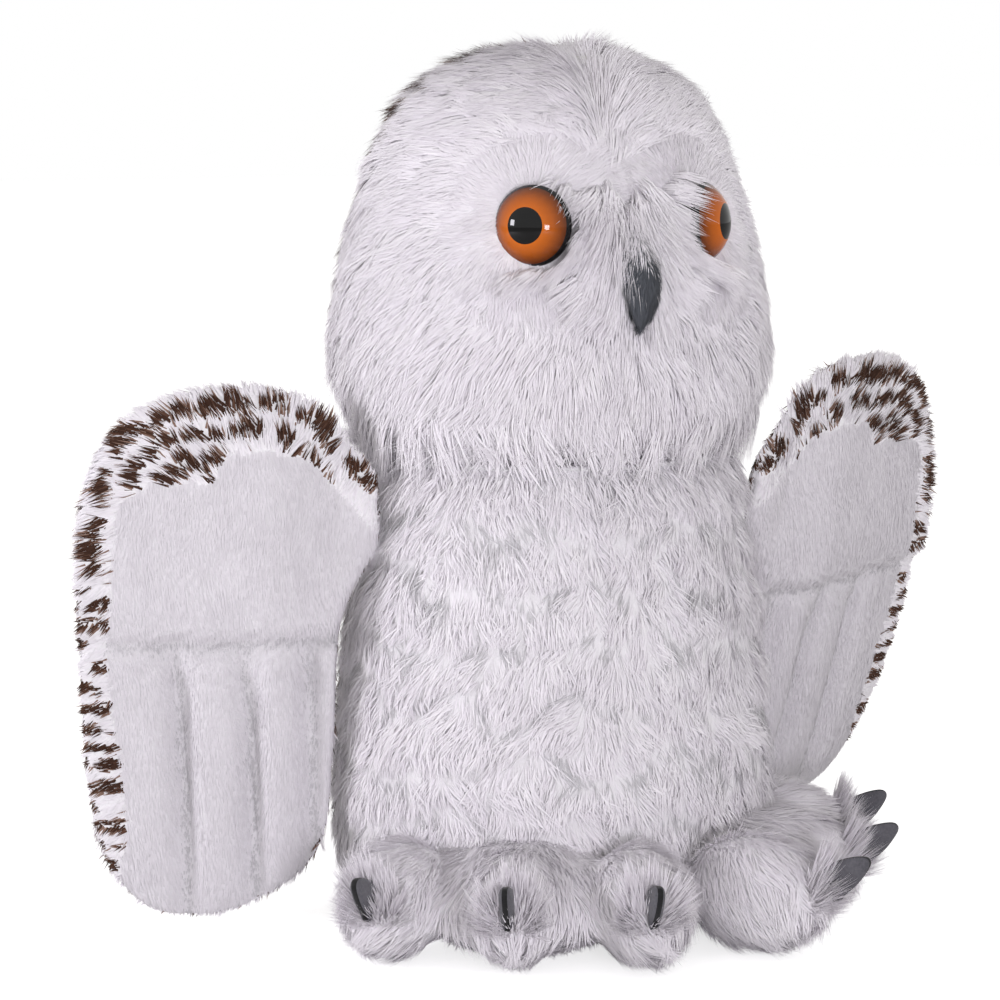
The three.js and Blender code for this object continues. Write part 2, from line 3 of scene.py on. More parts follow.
import bpy
import numpy as np
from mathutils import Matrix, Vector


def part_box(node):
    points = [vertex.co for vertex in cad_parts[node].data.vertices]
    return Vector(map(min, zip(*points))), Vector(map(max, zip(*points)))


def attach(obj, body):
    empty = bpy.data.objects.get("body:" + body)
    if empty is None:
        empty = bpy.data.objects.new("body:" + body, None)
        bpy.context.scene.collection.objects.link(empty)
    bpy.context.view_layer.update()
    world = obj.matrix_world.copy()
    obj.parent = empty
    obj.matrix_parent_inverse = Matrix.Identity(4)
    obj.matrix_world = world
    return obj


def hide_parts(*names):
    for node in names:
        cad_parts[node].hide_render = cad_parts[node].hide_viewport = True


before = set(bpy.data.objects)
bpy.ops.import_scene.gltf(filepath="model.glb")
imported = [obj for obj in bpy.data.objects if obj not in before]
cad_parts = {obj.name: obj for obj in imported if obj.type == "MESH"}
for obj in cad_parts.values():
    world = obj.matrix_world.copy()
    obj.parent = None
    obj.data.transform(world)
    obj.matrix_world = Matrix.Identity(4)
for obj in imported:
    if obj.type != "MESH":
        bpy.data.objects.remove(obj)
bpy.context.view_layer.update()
print("frame loaded:", len(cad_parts), "nodes")

# Every size below is in millimetres and every angle in degrees; makeMesh turns them into metres.
metresPerMm = 0.001
sides = {"left": 1, "right": -1}  # the owl's own left is +X


# Small tools for arrays of points

def nodeBox(name):
    low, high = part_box(name)
    return np.array(low) / metresPerMm, np.array(high) / metresPerMm


def unit(vectors):
    return vectors / np.maximum(np.linalg.norm(vectors, axis=-1, keepdims=True), 1e-9)


# Columns side by side, as points or as faces; a single number fills its column
def columns(*values):
    return np.stack(np.broadcast_arrays(*values), axis=-1)


# The angles of evenly spaced points once round
def roundAngles(count):
    return np.linspace(0, 2 * math.pi, count, endpoint=False)


# 0 below the first edge, 1 above the second, and 3x^2 - 2x^3 of the way in between
def smoothStep(low, high, value):
    share = np.clip((value - low) / (high - low), 0, 1)
    return share * share * (3 - 2 * share)


# 1 at a line, fading as e^-(distance / width)^2
def bump(distance, width):
    return np.exp(-((distance / width) ** 2))


# Catmull-Rom curve through evenly counted points, at the shares t of the way along it
def smoothCurve(points, t):
    points = np.asarray(points, float)
    last = len(points) - 1
    place = np.clip(np.asarray(t, float), 0, 1) * last
    cell = np.minimum(place.astype(int), last - 1)
    w = (place - cell)[..., None]
    before, start, end, after = (points[np.clip(cell + k, 0, last)] for k in (-1, 0, 1, 2))
    leave = (end - before) / 2
    arrive = (after - start) / 2
    cubic = 2 * start - 2 * end + leave + arrive
    square = -3 * start + 3 * end - 2 * leave - arrive
    return ((cubic * w + square) * w + leave) * w + start


# A rotation matrix about axis 0, 1 or 2
def turnAbout(axis, degrees):
    c, s = math.cos(math.radians(degrees)), math.sin(math.radians(degrees))
    matrix = np.eye(3)
    i, j = (axis + 1) % 3, (axis + 2) % 3
    matrix[i, i] = matrix[j, j] = c
    matrix[i, j], matrix[j, i] = -s, s
    return matrix


# Smooth value between about -1 and 1 that wanders over lengths of about the given scale:
# a mean of sines along fixed directions
def wander(points, scale, seed):
    rng = np.random.default_rng(seed)
    waves = rng.normal(size=(7, 3)) / scale
    phases = rng.uniform(0, 2 * math.pi, 7)
    return np.sin(points @ waves.T * 2.2 + phases).mean(axis=1) * 1.9


# A repeatable random number from 0 to 1 for each cell of a grid
def cellNoise(cells, salt):
    mixed = np.sin(cells @ np.array([127.1, 311.7, 74.7]) + salt * 17.31) * 43758.5453
    return mixed - np.floor(mixed)


# The nearest of one jittered centre in each cell of a grid, and that centre's cell
def tuftOf(points, size):
    scaled = points / np.asarray(size, float)
    home = np.floor(scaled)
    best = np.full(len(points), np.inf)
    centre = np.zeros_like(points)
    cell = np.zeros_like(points)
    for step in np.ndindex(3, 3, 3):
        around = home + (np.array(step) - 1)
        jitter = np.stack([cellNoise(around, salt) for salt in (1, 2, 3)], axis=1)
        spot = around + 0.15 + 0.7 * jitter
        away = np.sum((spot - scaled) ** 2, axis=1)
        nearer = away < best
        best[nearer] = away[nearer]
        centre[nearer] = spot[nearer]
        cell[nearer] = around[nearer]
    return centre * np.asarray(size, float), cell


# Rings of points as one closed skin: a quad, as two triangles, between neighbours, and a fan at each end
def closedTube(rings):
    count, around = rings.shape[:2]
    r, k = np.meshgrid(np.arange(count - 1), np.arange(around), indexing="ij")
    a = (r * around + k).ravel()
    b = (r * around + (k + 1) % around).ravel()
    walls = np.concatenate([columns(a, b, b + around), columns(a, b + around, a + around)])
    k = np.arange(around)
    n = (k + 1) % around
    last = (count - 1) * around
    tip = count * around
    fans = np.concatenate([columns(n, k, tip), columns(k + last, n + last, tip + 1)])
    ends = np.stack([rings[0].mean(axis=0), rings[-1].mean(axis=0)])
    points = np.concatenate([rings.reshape(-1, 3), ends])
    return outward(points, np.concatenate([walls, fans]))


# The first, second and third corner of each face
def cornersOf(points, faces):
    return (points[faces[:, corner]] for corner in range(3))


# Turns the faces round if the volume that they enclose is negative
def outward(points, faces):
    a, b, c = cornersOf(points, faces)
    volume = np.sum(a * np.cross(b, c))
    return points, faces if volume > 0 else faces[:, ::-1].copy()


# Unit normals at the points: the sum of the face normals round each, which weigh by area
def pointNormals(points, faces):
    a, b, c = cornersOf(points, faces)
    across = np.cross(b - a, c - a)
    total = np.zeros_like(points)
    for corner in range(3):
        for axis in range(3):
            total[:, axis] += np.bincount(faces[:, corner], across[:, axis], len(points))
    return unit(total)


# The faces that a mask picks, with only their own points
def pickFaces(points, faces, mask):
    kept = faces[mask]
    used, again = np.unique(kept, return_inverse=True)
    return points[used], again.reshape(kept.shape)


# The points of a mesh, as Blender holds them
def readPoints(mesh):
    points = np.empty(len(mesh.vertices) * 3, np.float32)
    mesh.vertices.foreach_get("co", points)
    return points.reshape(-1, 3)


def readTriangles(mesh):
    mesh.calc_loop_triangles()
    faces = np.empty(len(mesh.loop_triangles) * 3, np.int32)
    mesh.loop_triangles.foreach_get("vertices", faces)
    return faces.reshape(-1, 3)


def addObject(name, data):
    added = bpy.data.objects.new(name, data)
    bpy.context.scene.collection.objects.link(added)
    return added


# A new object from triangles, with the material that each face's shade names
def makeMesh(name, points, faces, materials, shades=None, place=None):
    if place is not None:
        turn, shift = place
        points = points @ turn.T + shift
        if np.linalg.det(turn) < 0:
            faces = faces[:, ::-1]
    mesh = bpy.data.meshes.new(name)
    mesh.vertices.add(len(points))
    mesh.vertices.foreach_set("co", (points * metresPerMm).astype(np.float32).ravel())
    mesh.loops.add(faces.size)
    mesh.loops.foreach_set("vertex_index", np.ascontiguousarray(faces, np.int32).ravel())
    mesh.polygons.add(len(faces))
    mesh.polygons.foreach_set("loop_start", np.arange(0, faces.size, 3, dtype=np.int32))
    mesh.polygons.foreach_set("use_smooth", np.ones(len(faces), bool))
    for material in materials:
        mesh.materials.append(material)
    if shades is not None:
        mesh.polygons.foreach_set("material_index", np.ascontiguousarray(shades, np.int32))
    mesh.update(calc_edges=True)
    return addObject(name, mesh)


# A sewn cover: the triangles as an open sheet, given its cloth thickness on the inside
def makeCover(name, points, faces, materials, shades, body, nodes, slotName, fill, place=None):
    cover = makeMesh(name, points, faces, materials, shades, place)
    thickness = cover.modifiers.new("cloth thickness", "SOLIDIFY")
    thickness.thickness = coverSettings["thickness"] * metresPerMm
    thickness.offset = -1
    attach(cover, body)
    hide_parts(*nodes)
    return cover


coverSettings = {"thickness": 0.5}


# Finishes

# Colours are linear; the three whites are mixed strand by strand.
finishes = {
    "whiteA": (0.955, 0.93, 0.965),
    "whiteB": (0.93, 0.90, 0.94),
    "whiteC": (0.975, 0.955, 0.98),
    "whiteShade": (0.66, 0.65, 0.67),  # painted shade for strands deep between the locks, under the row above
    "velourA": (0.84, 0.815, 0.85),
    "velourB": (0.80, 0.775, 0.81),
    "velourC": (0.63, 0.615, 0.64),  # painted shade along the sewn seam and channels
    "brownA": (0.060, 0.028, 0.018),
    "brownB": (0.115, 0.058, 0.038),
    "brownC": (0.27, 0.175, 0.135),
    "beakPile": (0.105, 0.113, 0.128),
    "pileRoughness": 0.75,
    "pileSheen": 0.1,
}


def newMaterial(name):
    material = bpy.data.materials.new(name)
    material.use_nodes = True
    tree = material.node_tree
    return material, tree, tree.nodes["Principled BSDF"]


# Gives a node's inputs their values; an input whose value is a socket is linked to it
def setInputs(tree, node, inputs):
    for key, value in inputs.items():
        if isinstance(value, bpy.types.NodeSocket):
            tree.links.new(value, node.inputs[key])
        else:
            node.inputs[key].default_value = value


# A new node with its inputs, and its operation if it has one
def addNode(tree, kind, inputs, operation=None):
    node = tree.nodes.new(kind)
    if operation:
        node.operation = operation
    setInputs(tree, node, inputs)
    return node


# Colour by a share, from stops of a position and a colour, of which the first two are the ramp's own
def addRamp(tree, share, stops):
    ramp = addNode(tree, "ShaderNodeValToRGB", {"Fac": share})
    elements = ramp.color_ramp.elements
    for index, (position, colour) in enumerate(stops):
        stop = elements[index] if index < 2 else elements.new(position)
        stop.position = position
        stop.color = (*colour, 1)
    return ramp.outputs["Color"]


# One strand colour: it is the same along a strand, and neighbours differ instead
def strandMaterial(name, colour):
    material, tree, shader = newMaterial(name)
    setInputs(tree, shader, {
        "Base Color": (*colour, 1),
        "Roughness": finishes["pileRoughness"],
        "Sheen Weight": finishes["pileSheen"],
        "Sheen Roughness": 0.5,
        "Specular IOR Level": 0.1,
    })
    return material


# Cloth whose colour and relief follow two noises: a broad one for handling, a fine one for the nap.
# stretch is how much longer the nap's marks are down the cloth than across it.
def clothMaterial(name, light, dark, napScale, stretch, relief, roughness=0.85, sheen=0.3):
    material, tree, shader = newMaterial(name)
    place = addNode(tree, "ShaderNodeTexCoord", {}).outputs["Object"]
    lay = addNode(tree, "ShaderNodeMapping", {"Scale": (1, 1, 1 / stretch), "Vector": place})
    nap = addNode(tree, "ShaderNodeTexNoise", {
        "Scale": napScale, "Detail": 5, "Vector": lay.outputs["Vector"],
    })
    broad = addNode(tree, "ShaderNodeTexNoise", {"Scale": napScale / 18, "Detail": 3, "Vector": place})
    part = addNode(tree, "ShaderNodeMath", {0: broad.outputs["Fac"], 1: 0.55}, "MULTIPLY")
    both = addNode(
        tree, "ShaderNodeMath", {0: nap.outputs["Fac"], 1: 0.45, 2: part.outputs["Value"]}, "MULTIPLY_ADD",
    )
    bump = addNode(tree, "ShaderNodeBump", {
        "Strength": 0.6, "Distance": relief * metresPerMm, "Height": nap.outputs["Fac"],
    })
    setInputs(tree, shader, {
        "Base Color": addRamp(tree, both.outputs["Value"], [(0.36, dark), (0.62, light)]),
        "Normal": bump.outputs["Normal"],
        "Roughness": roughness,
        "Sheen Weight": sheen,
        "Specular IOR Level": 0.25,
    })
    return material


# Woven cloth: two crossed waves lift each thread over its neighbour
def wovenMaterial(name, light, dark, threadsPerMetre):
    material, tree, shader = newMaterial(name)
    place = addNode(tree, "ShaderNodeTexCoord", {}).outputs["Object"]
    threads = []
    for direction in ("X", "Z"):
        wave = addNode(tree, "ShaderNodeTexWave", {
            "Scale": threadsPerMetre, "Distortion": 0.6, "Vector": place,
        })
        wave.bands_direction = direction
        threads.append(wave.outputs["Fac"])
    weave = addNode(tree, "ShaderNodeMath", {0: threads[0], 1: threads[1]}, "MAXIMUM").outputs["Value"]
    bump = addNode(tree, "ShaderNodeBump", {
        "Strength": 0.5, "Distance": 0.2 * metresPerMm, "Height": weave,
    })
    setInputs(tree, shader, {
        "Base Color": addRamp(tree, weave, [(0, dark), (1, light)]),
        "Normal": bump.outputs["Normal"],
        "Roughness": 0.85,
    })
    return material


# The strand materials that belong to some of the finishes
def strandMaterials(name, *keys):
    return [strandMaterial(name + "_" + key[-1].lower(), finishes[key]) for key in keys]


whitePile = strandMaterials("white_pile", "whiteA", "whiteB", "whiteC")
# painted shade: a darker white that stands in for the shadow under the belly's rows
paintedShadePile = strandMaterial("white_pile_painted_shade", finishes["whiteShade"])
velourPile = strandMaterials("velour_pile", "velourA", "velourB", "velourC")
brownPile = strandMaterials("brown_pile", "brownA", "brownB", "brownC")
beakPile = [strandMaterial("beak_pile", finishes["beakPile"])]
plushBacking = clothMaterial("plush_backing", (0.93, 0.92, 0.94), (0.86, 0.845, 0.865), 900, 1.5, 0.5)
brownBacking = clothMaterial("print_backing", (0.15, 0.085, 0.06), (0.07, 0.035, 0.024), 900, 1.5, 0.5)
velourBacking = clothMaterial("velour_nap", (0.80, 0.78, 0.81), (0.72, 0.70, 0.73), 1100, 4, 0.35)
fibreFill = clothMaterial("fibre_fill", (0.86, 0.85, 0.83), (0.72, 0.71, 0.69), 300, 1, 1.2)
pouchCloth = wovenMaterial("pouch_weave", (0.66, 0.62, 0.56), (0.42, 0.38, 0.33), 260)
clawCloth = clothMaterial(
    "claw_cloth", (0.145, 0.143, 0.16), (0.085, 0.083, 0.095), 1500, 1, 0.12, 0.85, 0.15,
)
clawEdge = clothMaterial("claw_edge", (0.012, 0.012, 0.013), (0.004, 0.004, 0.005), 1500, 1, 0.1, 0.7, 0.1)
beakCloth = clothMaterial("beak_cloth", (0.13, 0.138, 0.152), (0.07, 0.075, 0.085), 1300, 1, 0.2, 0.75, 0.2)
washerPlastic = clothMaterial(
    "washer_plastic", (0.72, 0.72, 0.70), (0.66, 0.66, 0.64), 500, 1, 0.05, 0.45, 0,
)
print("finishes ready")


# Sewing, stuffing and pile

stuffingSettings = {"pressure": 4, "frames": 12, "quality": 4}


# Cloth simulation of a closed skin with stuffing pressure inside and its seams pinned.
# A point moves no further than the cap.
def stuffSkin(name, points, faces, pinned, cap):
    skin = makeMesh(name + "_sewn", points, faces, [])
    seams = skin.vertex_groups.new(name="seams")
    seams.add(np.flatnonzero(pinned).tolist(), 1.0, "REPLACE")
    cloth = skin.modifiers.new("stuffing", "CLOTH")
    cloth.settings.quality = stuffingSettings["quality"]
    cloth.settings.vertex_group_mass = "seams"
    cloth.settings.use_pressure = True
    cloth.settings.uniform_pressure_force = stuffingSettings["pressure"]
    cloth.settings.effector_weights.gravity = 0
    cloth.collision_settings.use_collision = False
    cloth.point_cache.frame_end = stuffingSettings["frames"]
    scene = bpy.context.scene
    for step in range(1, stuffingSettings["frames"] + 1):
        scene.frame_set(step)
    evaluated = skin.evaluated_get(bpy.context.evaluated_depsgraph_get())
    moved = readPoints(evaluated.data) / metresPerMm - points
    scene.frame_set(1)
    bpy.data.objects.remove(skin)
    far = np.linalg.norm(moved, axis=1, keepdims=True)
    print(name, "swells by up to", round(float(far.max()), 2), "mm, kept to", cap)
    return points + moved * np.minimum(1, cap / np.maximum(far, 1e-6))


# Random places on a skin, as likely as area times the weight of each face
def scatter(points, faces, count, weight, rng):
    a, b, c = cornersOf(points, faces)
    area = np.linalg.norm(np.cross(b - a, c - a), axis=1) * weight((a + b + c) / 3)
    total = np.cumsum(area)
    face = np.searchsorted(total, rng.uniform(0, total[-1], count))
    face = np.minimum(face, len(faces) - 1)
    u, v = rng.uniform(size=(2, count, 1))
    folded = np.where(u + v > 1, 1, 0)
    u, v = np.abs(folded - u), np.abs(folded - v)
    normals = pointNormals(points, faces)
    i, j, k = faces[face, 0], faces[face, 1], faces[face, 2]
    spots = points[i] * (1 - u - v) + points[j] * u + points[k] * v
    return spots, unit(normals[i] * (1 - u - v) + normals[j] * u + normals[k] * v)


strandHabit = {
    "turnSpread": 0.35,  # how far strands of a tuft turn apart, as a share of the tuft's own turn
    "tuftLengths": 0.35,  # how unequal the tufts are in length
    "lengthSpread": 0.14,  # and the strands of a tuft
    "shortest": 0.3,  # as a share of the pile's length
    "halves": (0.8, 1.2),  # of a strand's length, below and above its bend
    "pulls": (0.3, 0.7),  # shares of the draw towards its tuft below and above the bend
}


# Strands from their roots: each leaves the skin at the lift angle, bends to the lay angle half way,
# and draws in towards the middle of its tuft. In a pile's settings, tuft is the size of a tuft's cell,
# gather how far its strands draw in, turn and ruffle how far tufts turn and lift apart, and wild how far
# single strands stray from their tuft.
def combStrands(roots, normals, flow, pile, rng, lengths=1.0, lifts=0.0):
    h = strandHabit
    count = len(roots)
    centre, cell = tuftOf(roots, pile["tuft"])
    own = {salt: cellNoise(cell, salt) - 0.5 for salt in (5, 6, 7)}
    along = unit(flow - normals * np.sum(flow * normals, axis=1, keepdims=True))
    across = np.cross(normals, along)
    turn = np.radians(pile["turn"] * (2 * own[5] + rng.normal(0, h["turnSpread"], count)))[:, None]
    along = along * np.cos(turn) + across * np.sin(turn)
    wild = np.radians(pile["wild"])
    lift = np.radians(pile["lift"] + lifts + pile["ruffle"] * 2 * own[6]) + rng.normal(0, wild, count)
    lay = np.radians(pile["lay"] + lifts * 0.5 + pile["ruffle"] * own[6]) + rng.normal(0, wild, count)
    spread = rng.normal(0, h["lengthSpread"], count)
    reach = pile["length"] * lengths * (1 + h["tuftLengths"] * own[7] + spread)
    reach = np.maximum(reach, h["shortest"] * pile["length"] * lengths)[:, None] / 2
    pull = centre - roots
    pull = (pull - normals * np.sum(pull * normals, axis=1, keepdims=True)) * pile["gather"]
    first = along * np.cos(lift)[:, None] + normals * np.sin(lift)[:, None]
    second = along * np.cos(lay)[:, None] + normals * np.sin(lay)[:, None]
    middle = roots + first * reach * h["halves"][0] + pull * h["pulls"][0]
    tip = middle + second * reach * h["halves"][1] + pull * h["pulls"][1]
    return roots, middle, tip, normals


# Strands as closed flat blades whose broad side faces away from the skin. A bent one runs from a point at
# the root to a ring of 3 and a point at the tip; a straight one is a ring of 3 at the root and a tip.
# A ring has a corner at each edge of the blade and one under its middle.
def strandMesh(roots, middle, tip, normals, width, straight):
    count = len(roots)
    angles = np.radians([30, 150, 270])
    heading = unit(tip - roots)
    over = unit(normals - heading * np.sum(normals * heading, axis=1, keepdims=True))
    side = np.cross(over, heading)
    ring = side[:, None] * np.cos(angles)[:, None]
    ring = ring + over[:, None] * np.sin(angles)[:, None] * bladeShape["flat"]
    ring = ring * (width / 2)[:, None, None]
    if straight:
        points = np.concatenate([roots[:, None] + ring, tip[:, None]], axis=1)
        pattern = [[0, 1, 3], [1, 2, 3], [2, 0, 3], [0, 2, 1]]
        tipFaces = np.array([True, True, True, False])
    else:
        points = np.concatenate([roots[:, None], middle[:, None] + ring, tip[:, None]], axis=1)
        pattern = [[0, 2, 1], [0, 3, 2], [0, 1, 3], [1, 2, 4], [2, 3, 4], [3, 1, 4]]
        tipFaces = np.array([False, False, False, True, True, True])
    per = points.shape[1]
    faces = (np.arange(count) * per)[:, None, None] + np.array(pattern)[None]
    return points.reshape(-1, 3), faces.reshape(-1, 3), tipFaces


# A patch of pile on one body, cut into pieces of less than the given number of faces
def addPile(name, strands, shades, materials, pile, body, straight=False, place=None):
    roots, middle, tip, normals = strands
    if place is not None:
        turn, shift = place
        roots, middle, tip = (points @ turn.T + shift for points in (roots, middle, tip))
        normals = normals @ turn.T
    for points in (roots, middle, tip):
        points[:, 2] = np.maximum(points[:, 2], bladeShape["floor"])
    rng = np.random.default_rng(pile["seed"] + 1000)
    width = pile["width"] * rng.uniform(*bladeShape["widths"], len(roots))
    perStrand = 4 if straight else 6
    parts = math.ceil(len(roots) * perStrand / bladeShape["faces"])
    order = np.argsort(roots[:, 2], kind="stable")
    for part, chosen in enumerate(np.array_split(order, parts)):
        points, faces, tipFaces = strandMesh(
            roots[chosen], middle[chosen], tip[chosen], normals[chosen], width[chosen], straight,
        )
        rootShade, tipShade = shades[0][chosen], shades[1][chosen]
        faceShades = np.where(tipFaces[None], tipShade[:, None], rootShade[:, None])
        label = name if parts == 1 else name + "_" + str(part + 1)
        piece = makeMesh(label, points, faces, materials, faceShades.ravel())
        piece.data.shade_flat()
        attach(piece, body)
    print(name, len(roots), "strands in", parts, "pieces")


bladeShape = {
    "flat": 0.25,  # thickness over width
    "widths": (0.75, 1.25),  # of the narrowest and the widest strand, over the pile's own width
    "floor": 0.5,  # strands lie on the floor and don't go under it
    "faces": 190000,  # at most, in one piece
}
whiteSettings = {"tuft": 6, "steps": (0.38, 0.66)}  # where the shades part on a scale from 0 to 1


# White shades for strands, the same at the root and the tip, which differ a little from tuft to tuft
def whiteShades(roots, rng):
    cell = np.floor(roots / whiteSettings["tuft"])
    mixed = cellNoise(cell, 11) * 0.5 + rng.uniform(size=len(roots)) * 0.5
    shade = np.digitize(mixed, whiteSettings["steps"])
    return shade, shade


printSettings = {
    "pitch": 8.6,  # between rows of bars
    "barPitch": 18.5,  # between bars of a row
    "barHalf": 9.2,  # half of a bar's length
    "barThick": 4.8,
    "bow": 0.025,  # how far a bar's ends droop, per mm squared
    "drift": 1.8,  # how far rows and bars stray
    "fray": 0.3,  # how unevenly a bar's edge ends
    "rim": 0.5,  # width of the light brown round a bar
    "core": 0.3,  # how deep in a bar a strand is brown down to its root
    "blackShare": 0.72,  # how many of a bar's strands are the darkest
}


# Brown bars in staggered rows. across and up are mm along and up the cloth; a strand is brown where
# its height is within a bar: a bow through the bar's middle, thinner towards its ends. The shades count
# through printPile: 0 to 2 are white, and 3 to 5 dark, middle and light brown.
def barShades(across, up, rng):
    s = printSettings
    flat = columns(across, up, 0)
    white = rng.integers(0, 3, len(up))
    depth = np.full(len(up), -9.0)
    across = across + s["drift"] * wander(flat, 16, 21)
    up = up + s["drift"] * wander(flat, 22, 22)
    for shift in (-1, 0, 1):
        row = np.floor(up / s["pitch"]) + shift
        rowCell = columns(row, 0, 0)
        stagger = s["barPitch"] * (0.5 * (row % 2) + 0.3 * cellNoise(rowCell, 31))
        bar = np.floor((across - stagger) / s["barPitch"])
        cell = columns(row, bar, 0)
        middle = (bar + 0.5) * s["barPitch"] + stagger + s["drift"] * (2 * cellNoise(cell, 33) - 1)
        half = s["barHalf"] * (0.7 + 0.45 * cellNoise(cell, 34))
        off = across - middle
        height = (row + 0.5) * s["pitch"] + s["drift"] * (cellNoise(cell, 35) - 0.5) - s["bow"] * off**2
        edge = np.sqrt(np.maximum(0, 1 - (off / half) ** 2))
        thick = s["barThick"] * (0.75 + 0.5 * cellNoise(cell, 36)) * edge / 2
        depth = np.maximum(depth, np.where(edge > 0, thick - np.abs(up - height), -9))
    depth = depth + rng.normal(0, s["fray"], len(up))
    black = rng.uniform(size=len(up)) < s["blackShare"]
    tip = np.where(depth > 0, np.where(black, 3, 4), np.where(depth > -s["rim"], 5, white))
    root = np.where(depth > s["core"], 4, np.where(depth > 0, 5, white))
    return root, tip


# The print lies on the combed pile, so that a strand takes the shade at its middle
def strandMiddle(strands):
    return (strands[0] + strands[2]) / 2


# Bars that run level round an upright form
def roundShades(points, form, rng):
    return barShades(np.arctan2(points[:, 0], points[:, 1]) * form["halfWidth"] * 0.85, points[:, 2], rng)


# Whether a place is brown, from its root and tip shades
def isBar(shades):
    return shades[1] > 2


printPile = whitePile + brownPile
whiteCloth = {
    "shadesOf": lambda strands, rng: whiteShades(strands[0], rng),
    "materials": whitePile,
    "slotName": "white_plush",
}


# What growPile needs for pile that is printed all round an upright form
def printedCloth(form):
    return {
        "shadesOf": lambda strands, rng: roundShades(strandMiddle(strands), form, rng),
        "materials": printPile,
        "slotName": "printed_plush",
        "straight": True,
    }


# Pile on a skin, which is points and faces: its roots fall as densely as the weight says, comb tells
# combStrands how they lie, and shadesOf gives their shades. A pile's level, if it has one, stretches its
# normals before they are combed.
def growPile(
    name, pile, skin, weight, comb, shadesOf, materials, slotName, body="torso", straight=False, place=None,
):
    rng = np.random.default_rng(pile["seed"])
    roots, normals = scatter(*skin, pile["count"], weight, rng)
    if "level" in pile:
        normals = unit(normals * pile["level"])
    strands = combStrands(roots, normals, pile=pile, rng=rng, **comb(roots))
    addPile(name, strands, shadesOf(strands, rng), materials, pile, body, straight, place)


# Pile that lies downwards and sways a little to either side
def downFlow(points, seed):
    return columns(0.55 * wander(points, 26, seed), 0, -1)


# The front and back cover of an upright form, parted at the side seams
def splitCovers(skin, form, seed, fill, covers):
    points, faces = skin
    middles = points[faces].mean(axis=1)
    for name, node, printed in covers:
        mask = (middles[:, 1] >= sideSeam) == printed
        bars = isBar(roundShades(middles[mask], form, np.random.default_rng(seed))) if printed else None
        slotName = "printed_plush" if printed else "white_plush"
        parts = pickFaces(points, faces, mask)
        makeCover(name, *parts, [plushBacking, brownBacking], bars, "torso", [node], slotName, fill)


# Body and head: stuffed upright forms

bodyForm = {
    "heights": [0, 0.02, 0.08, 0.2, 0.4, 0.6, 0.8, 0.92, 1],
    "widths": [0.8, 0.87, 0.955, 1, 0.99, 0.95, 0.9, 0.86, 0.81],
    "rows": 84,
    "around": 120,
}
headForm = {
    "heights": [0, 0.05, 0.12, 0.22, 0.35, 0.5, 0.65, 0.78, 0.88, 0.95, 0.985, 1],
    "widths": [0.8, 0.885, 0.955, 1, 0.985, 0.935, 0.855, 0.765, 0.645, 0.465, 0.28, 0.08],
    "rows": 84,
    "around": 120,
}
sideSeam = nodeBox("belly_panel")[1][1]  # how far behind the middle the side seams run


# Sizes of an upright form, read off its front and back nodes
def readForm(form, front, back):
    low, high = nodeBox(front)
    form["floor"], form["height"] = low[2], high[2] - low[2]
    form["halfWidth"], form["front"] = high[0], -low[1]
    form["back"] = nodeBox(back)[1][1]


# Level rings up a form: x = w cos a, y = w sin a, stretched to the front depth or the back depth,
# with w from the curve of widths
def uprightSkin(form):
    line = smoothCurve(columns(form["heights"], form["widths"]), np.linspace(0, 1, form["rows"]))
    height = form["floor"] + form["height"] * line[:, 0]
    half = form["halfWidth"] * line[:, 1]
    angle = roundAngles(form["around"])
    depth = np.where(np.sin(angle) < 0, form["front"], form["back"]) / form["halfWidth"]
    x = half[:, None] * np.cos(angle)
    y = half[:, None] * np.sin(angle) * depth
    return closedTube(columns(x, y, height[:, None]))


readForm(bodyForm, "belly_panel", "back_panel")
readForm(headForm, "head_face_panel", "head_back_panel")


# Front depth of a form at a height: the curve of widths looked up at that height
def frontAt(form, height):
    line = smoothCurve(columns(form["heights"], form["widths"]), np.linspace(0, 1, 400))
    half = np.interp((height - form["floor"]) / form["height"], line[:, 0], line[:, 1])
    return half * form["front"]


bodySettings = {
    "inset": 3.4,
    "swell": 1.2,
    "fill": 0.75,
    "pinBand": 2.5,
    "pinEnds": (6, 8),  # above the floor, and below the neck
    "pileFrom": 2.5,  # no roots below this height
}
bellyRows = {
    "pitch": 19,
    "height": 2.7,
    "scallop": 6.5,  # height and length of the scallops of a row's edge
    "scallopLength": 14,
    "roll": 7,  # the same of its slow wave
    "rollLength": 45,
    "fade": 30,  # how far from the side seam the rows reach their full height
    "ends": ((4, 20), 12),  # they rise between these heights, and fade over this length below the neck
    "overhang": 2.6,  # how far strands reach past their row's lower edge
    "lift": 14,
    "liftShares": (0.5, 0.1),  # parts of a row between which its strands lift
    "underShares": (0.74, 0.93),  # and between which they pass under the row above
    "inPaintedShade": 0.85,  # how many of those take the painted shade colour
}


# The belly's wavy rows: how far up its row a place lies, from 0 at the row's lower edge to 1
def rowShare(points):
    r = bellyRows
    waves = r["scallop"] * wander(points, r["scallopLength"], 41)
    height = points[:, 2] + waves + r["roll"] * wander(points, r["rollLength"], 42)
    turns = height / r["pitch"]
    return turns - np.floor(turns)


# 0 at the side seams, 1 well in front of them
def onFront(points):
    return smoothStep(sideSeam, sideSeam - bellyRows["fade"], points[:, 1])


# Height of the rows on the front: each grows downwards to its lower edge, and falls off steeply there
def bellyRidge(points):
    share = rowShare(points)
    low, high = bellyRows["ends"]
    top = bodyForm["height"]
    ends = smoothStep(*low, points[:, 2]) * smoothStep(top, top - high, points[:, 2])
    return bellyRows["height"] * onFront(points) * ends * np.minimum(1 - share, share * 5)


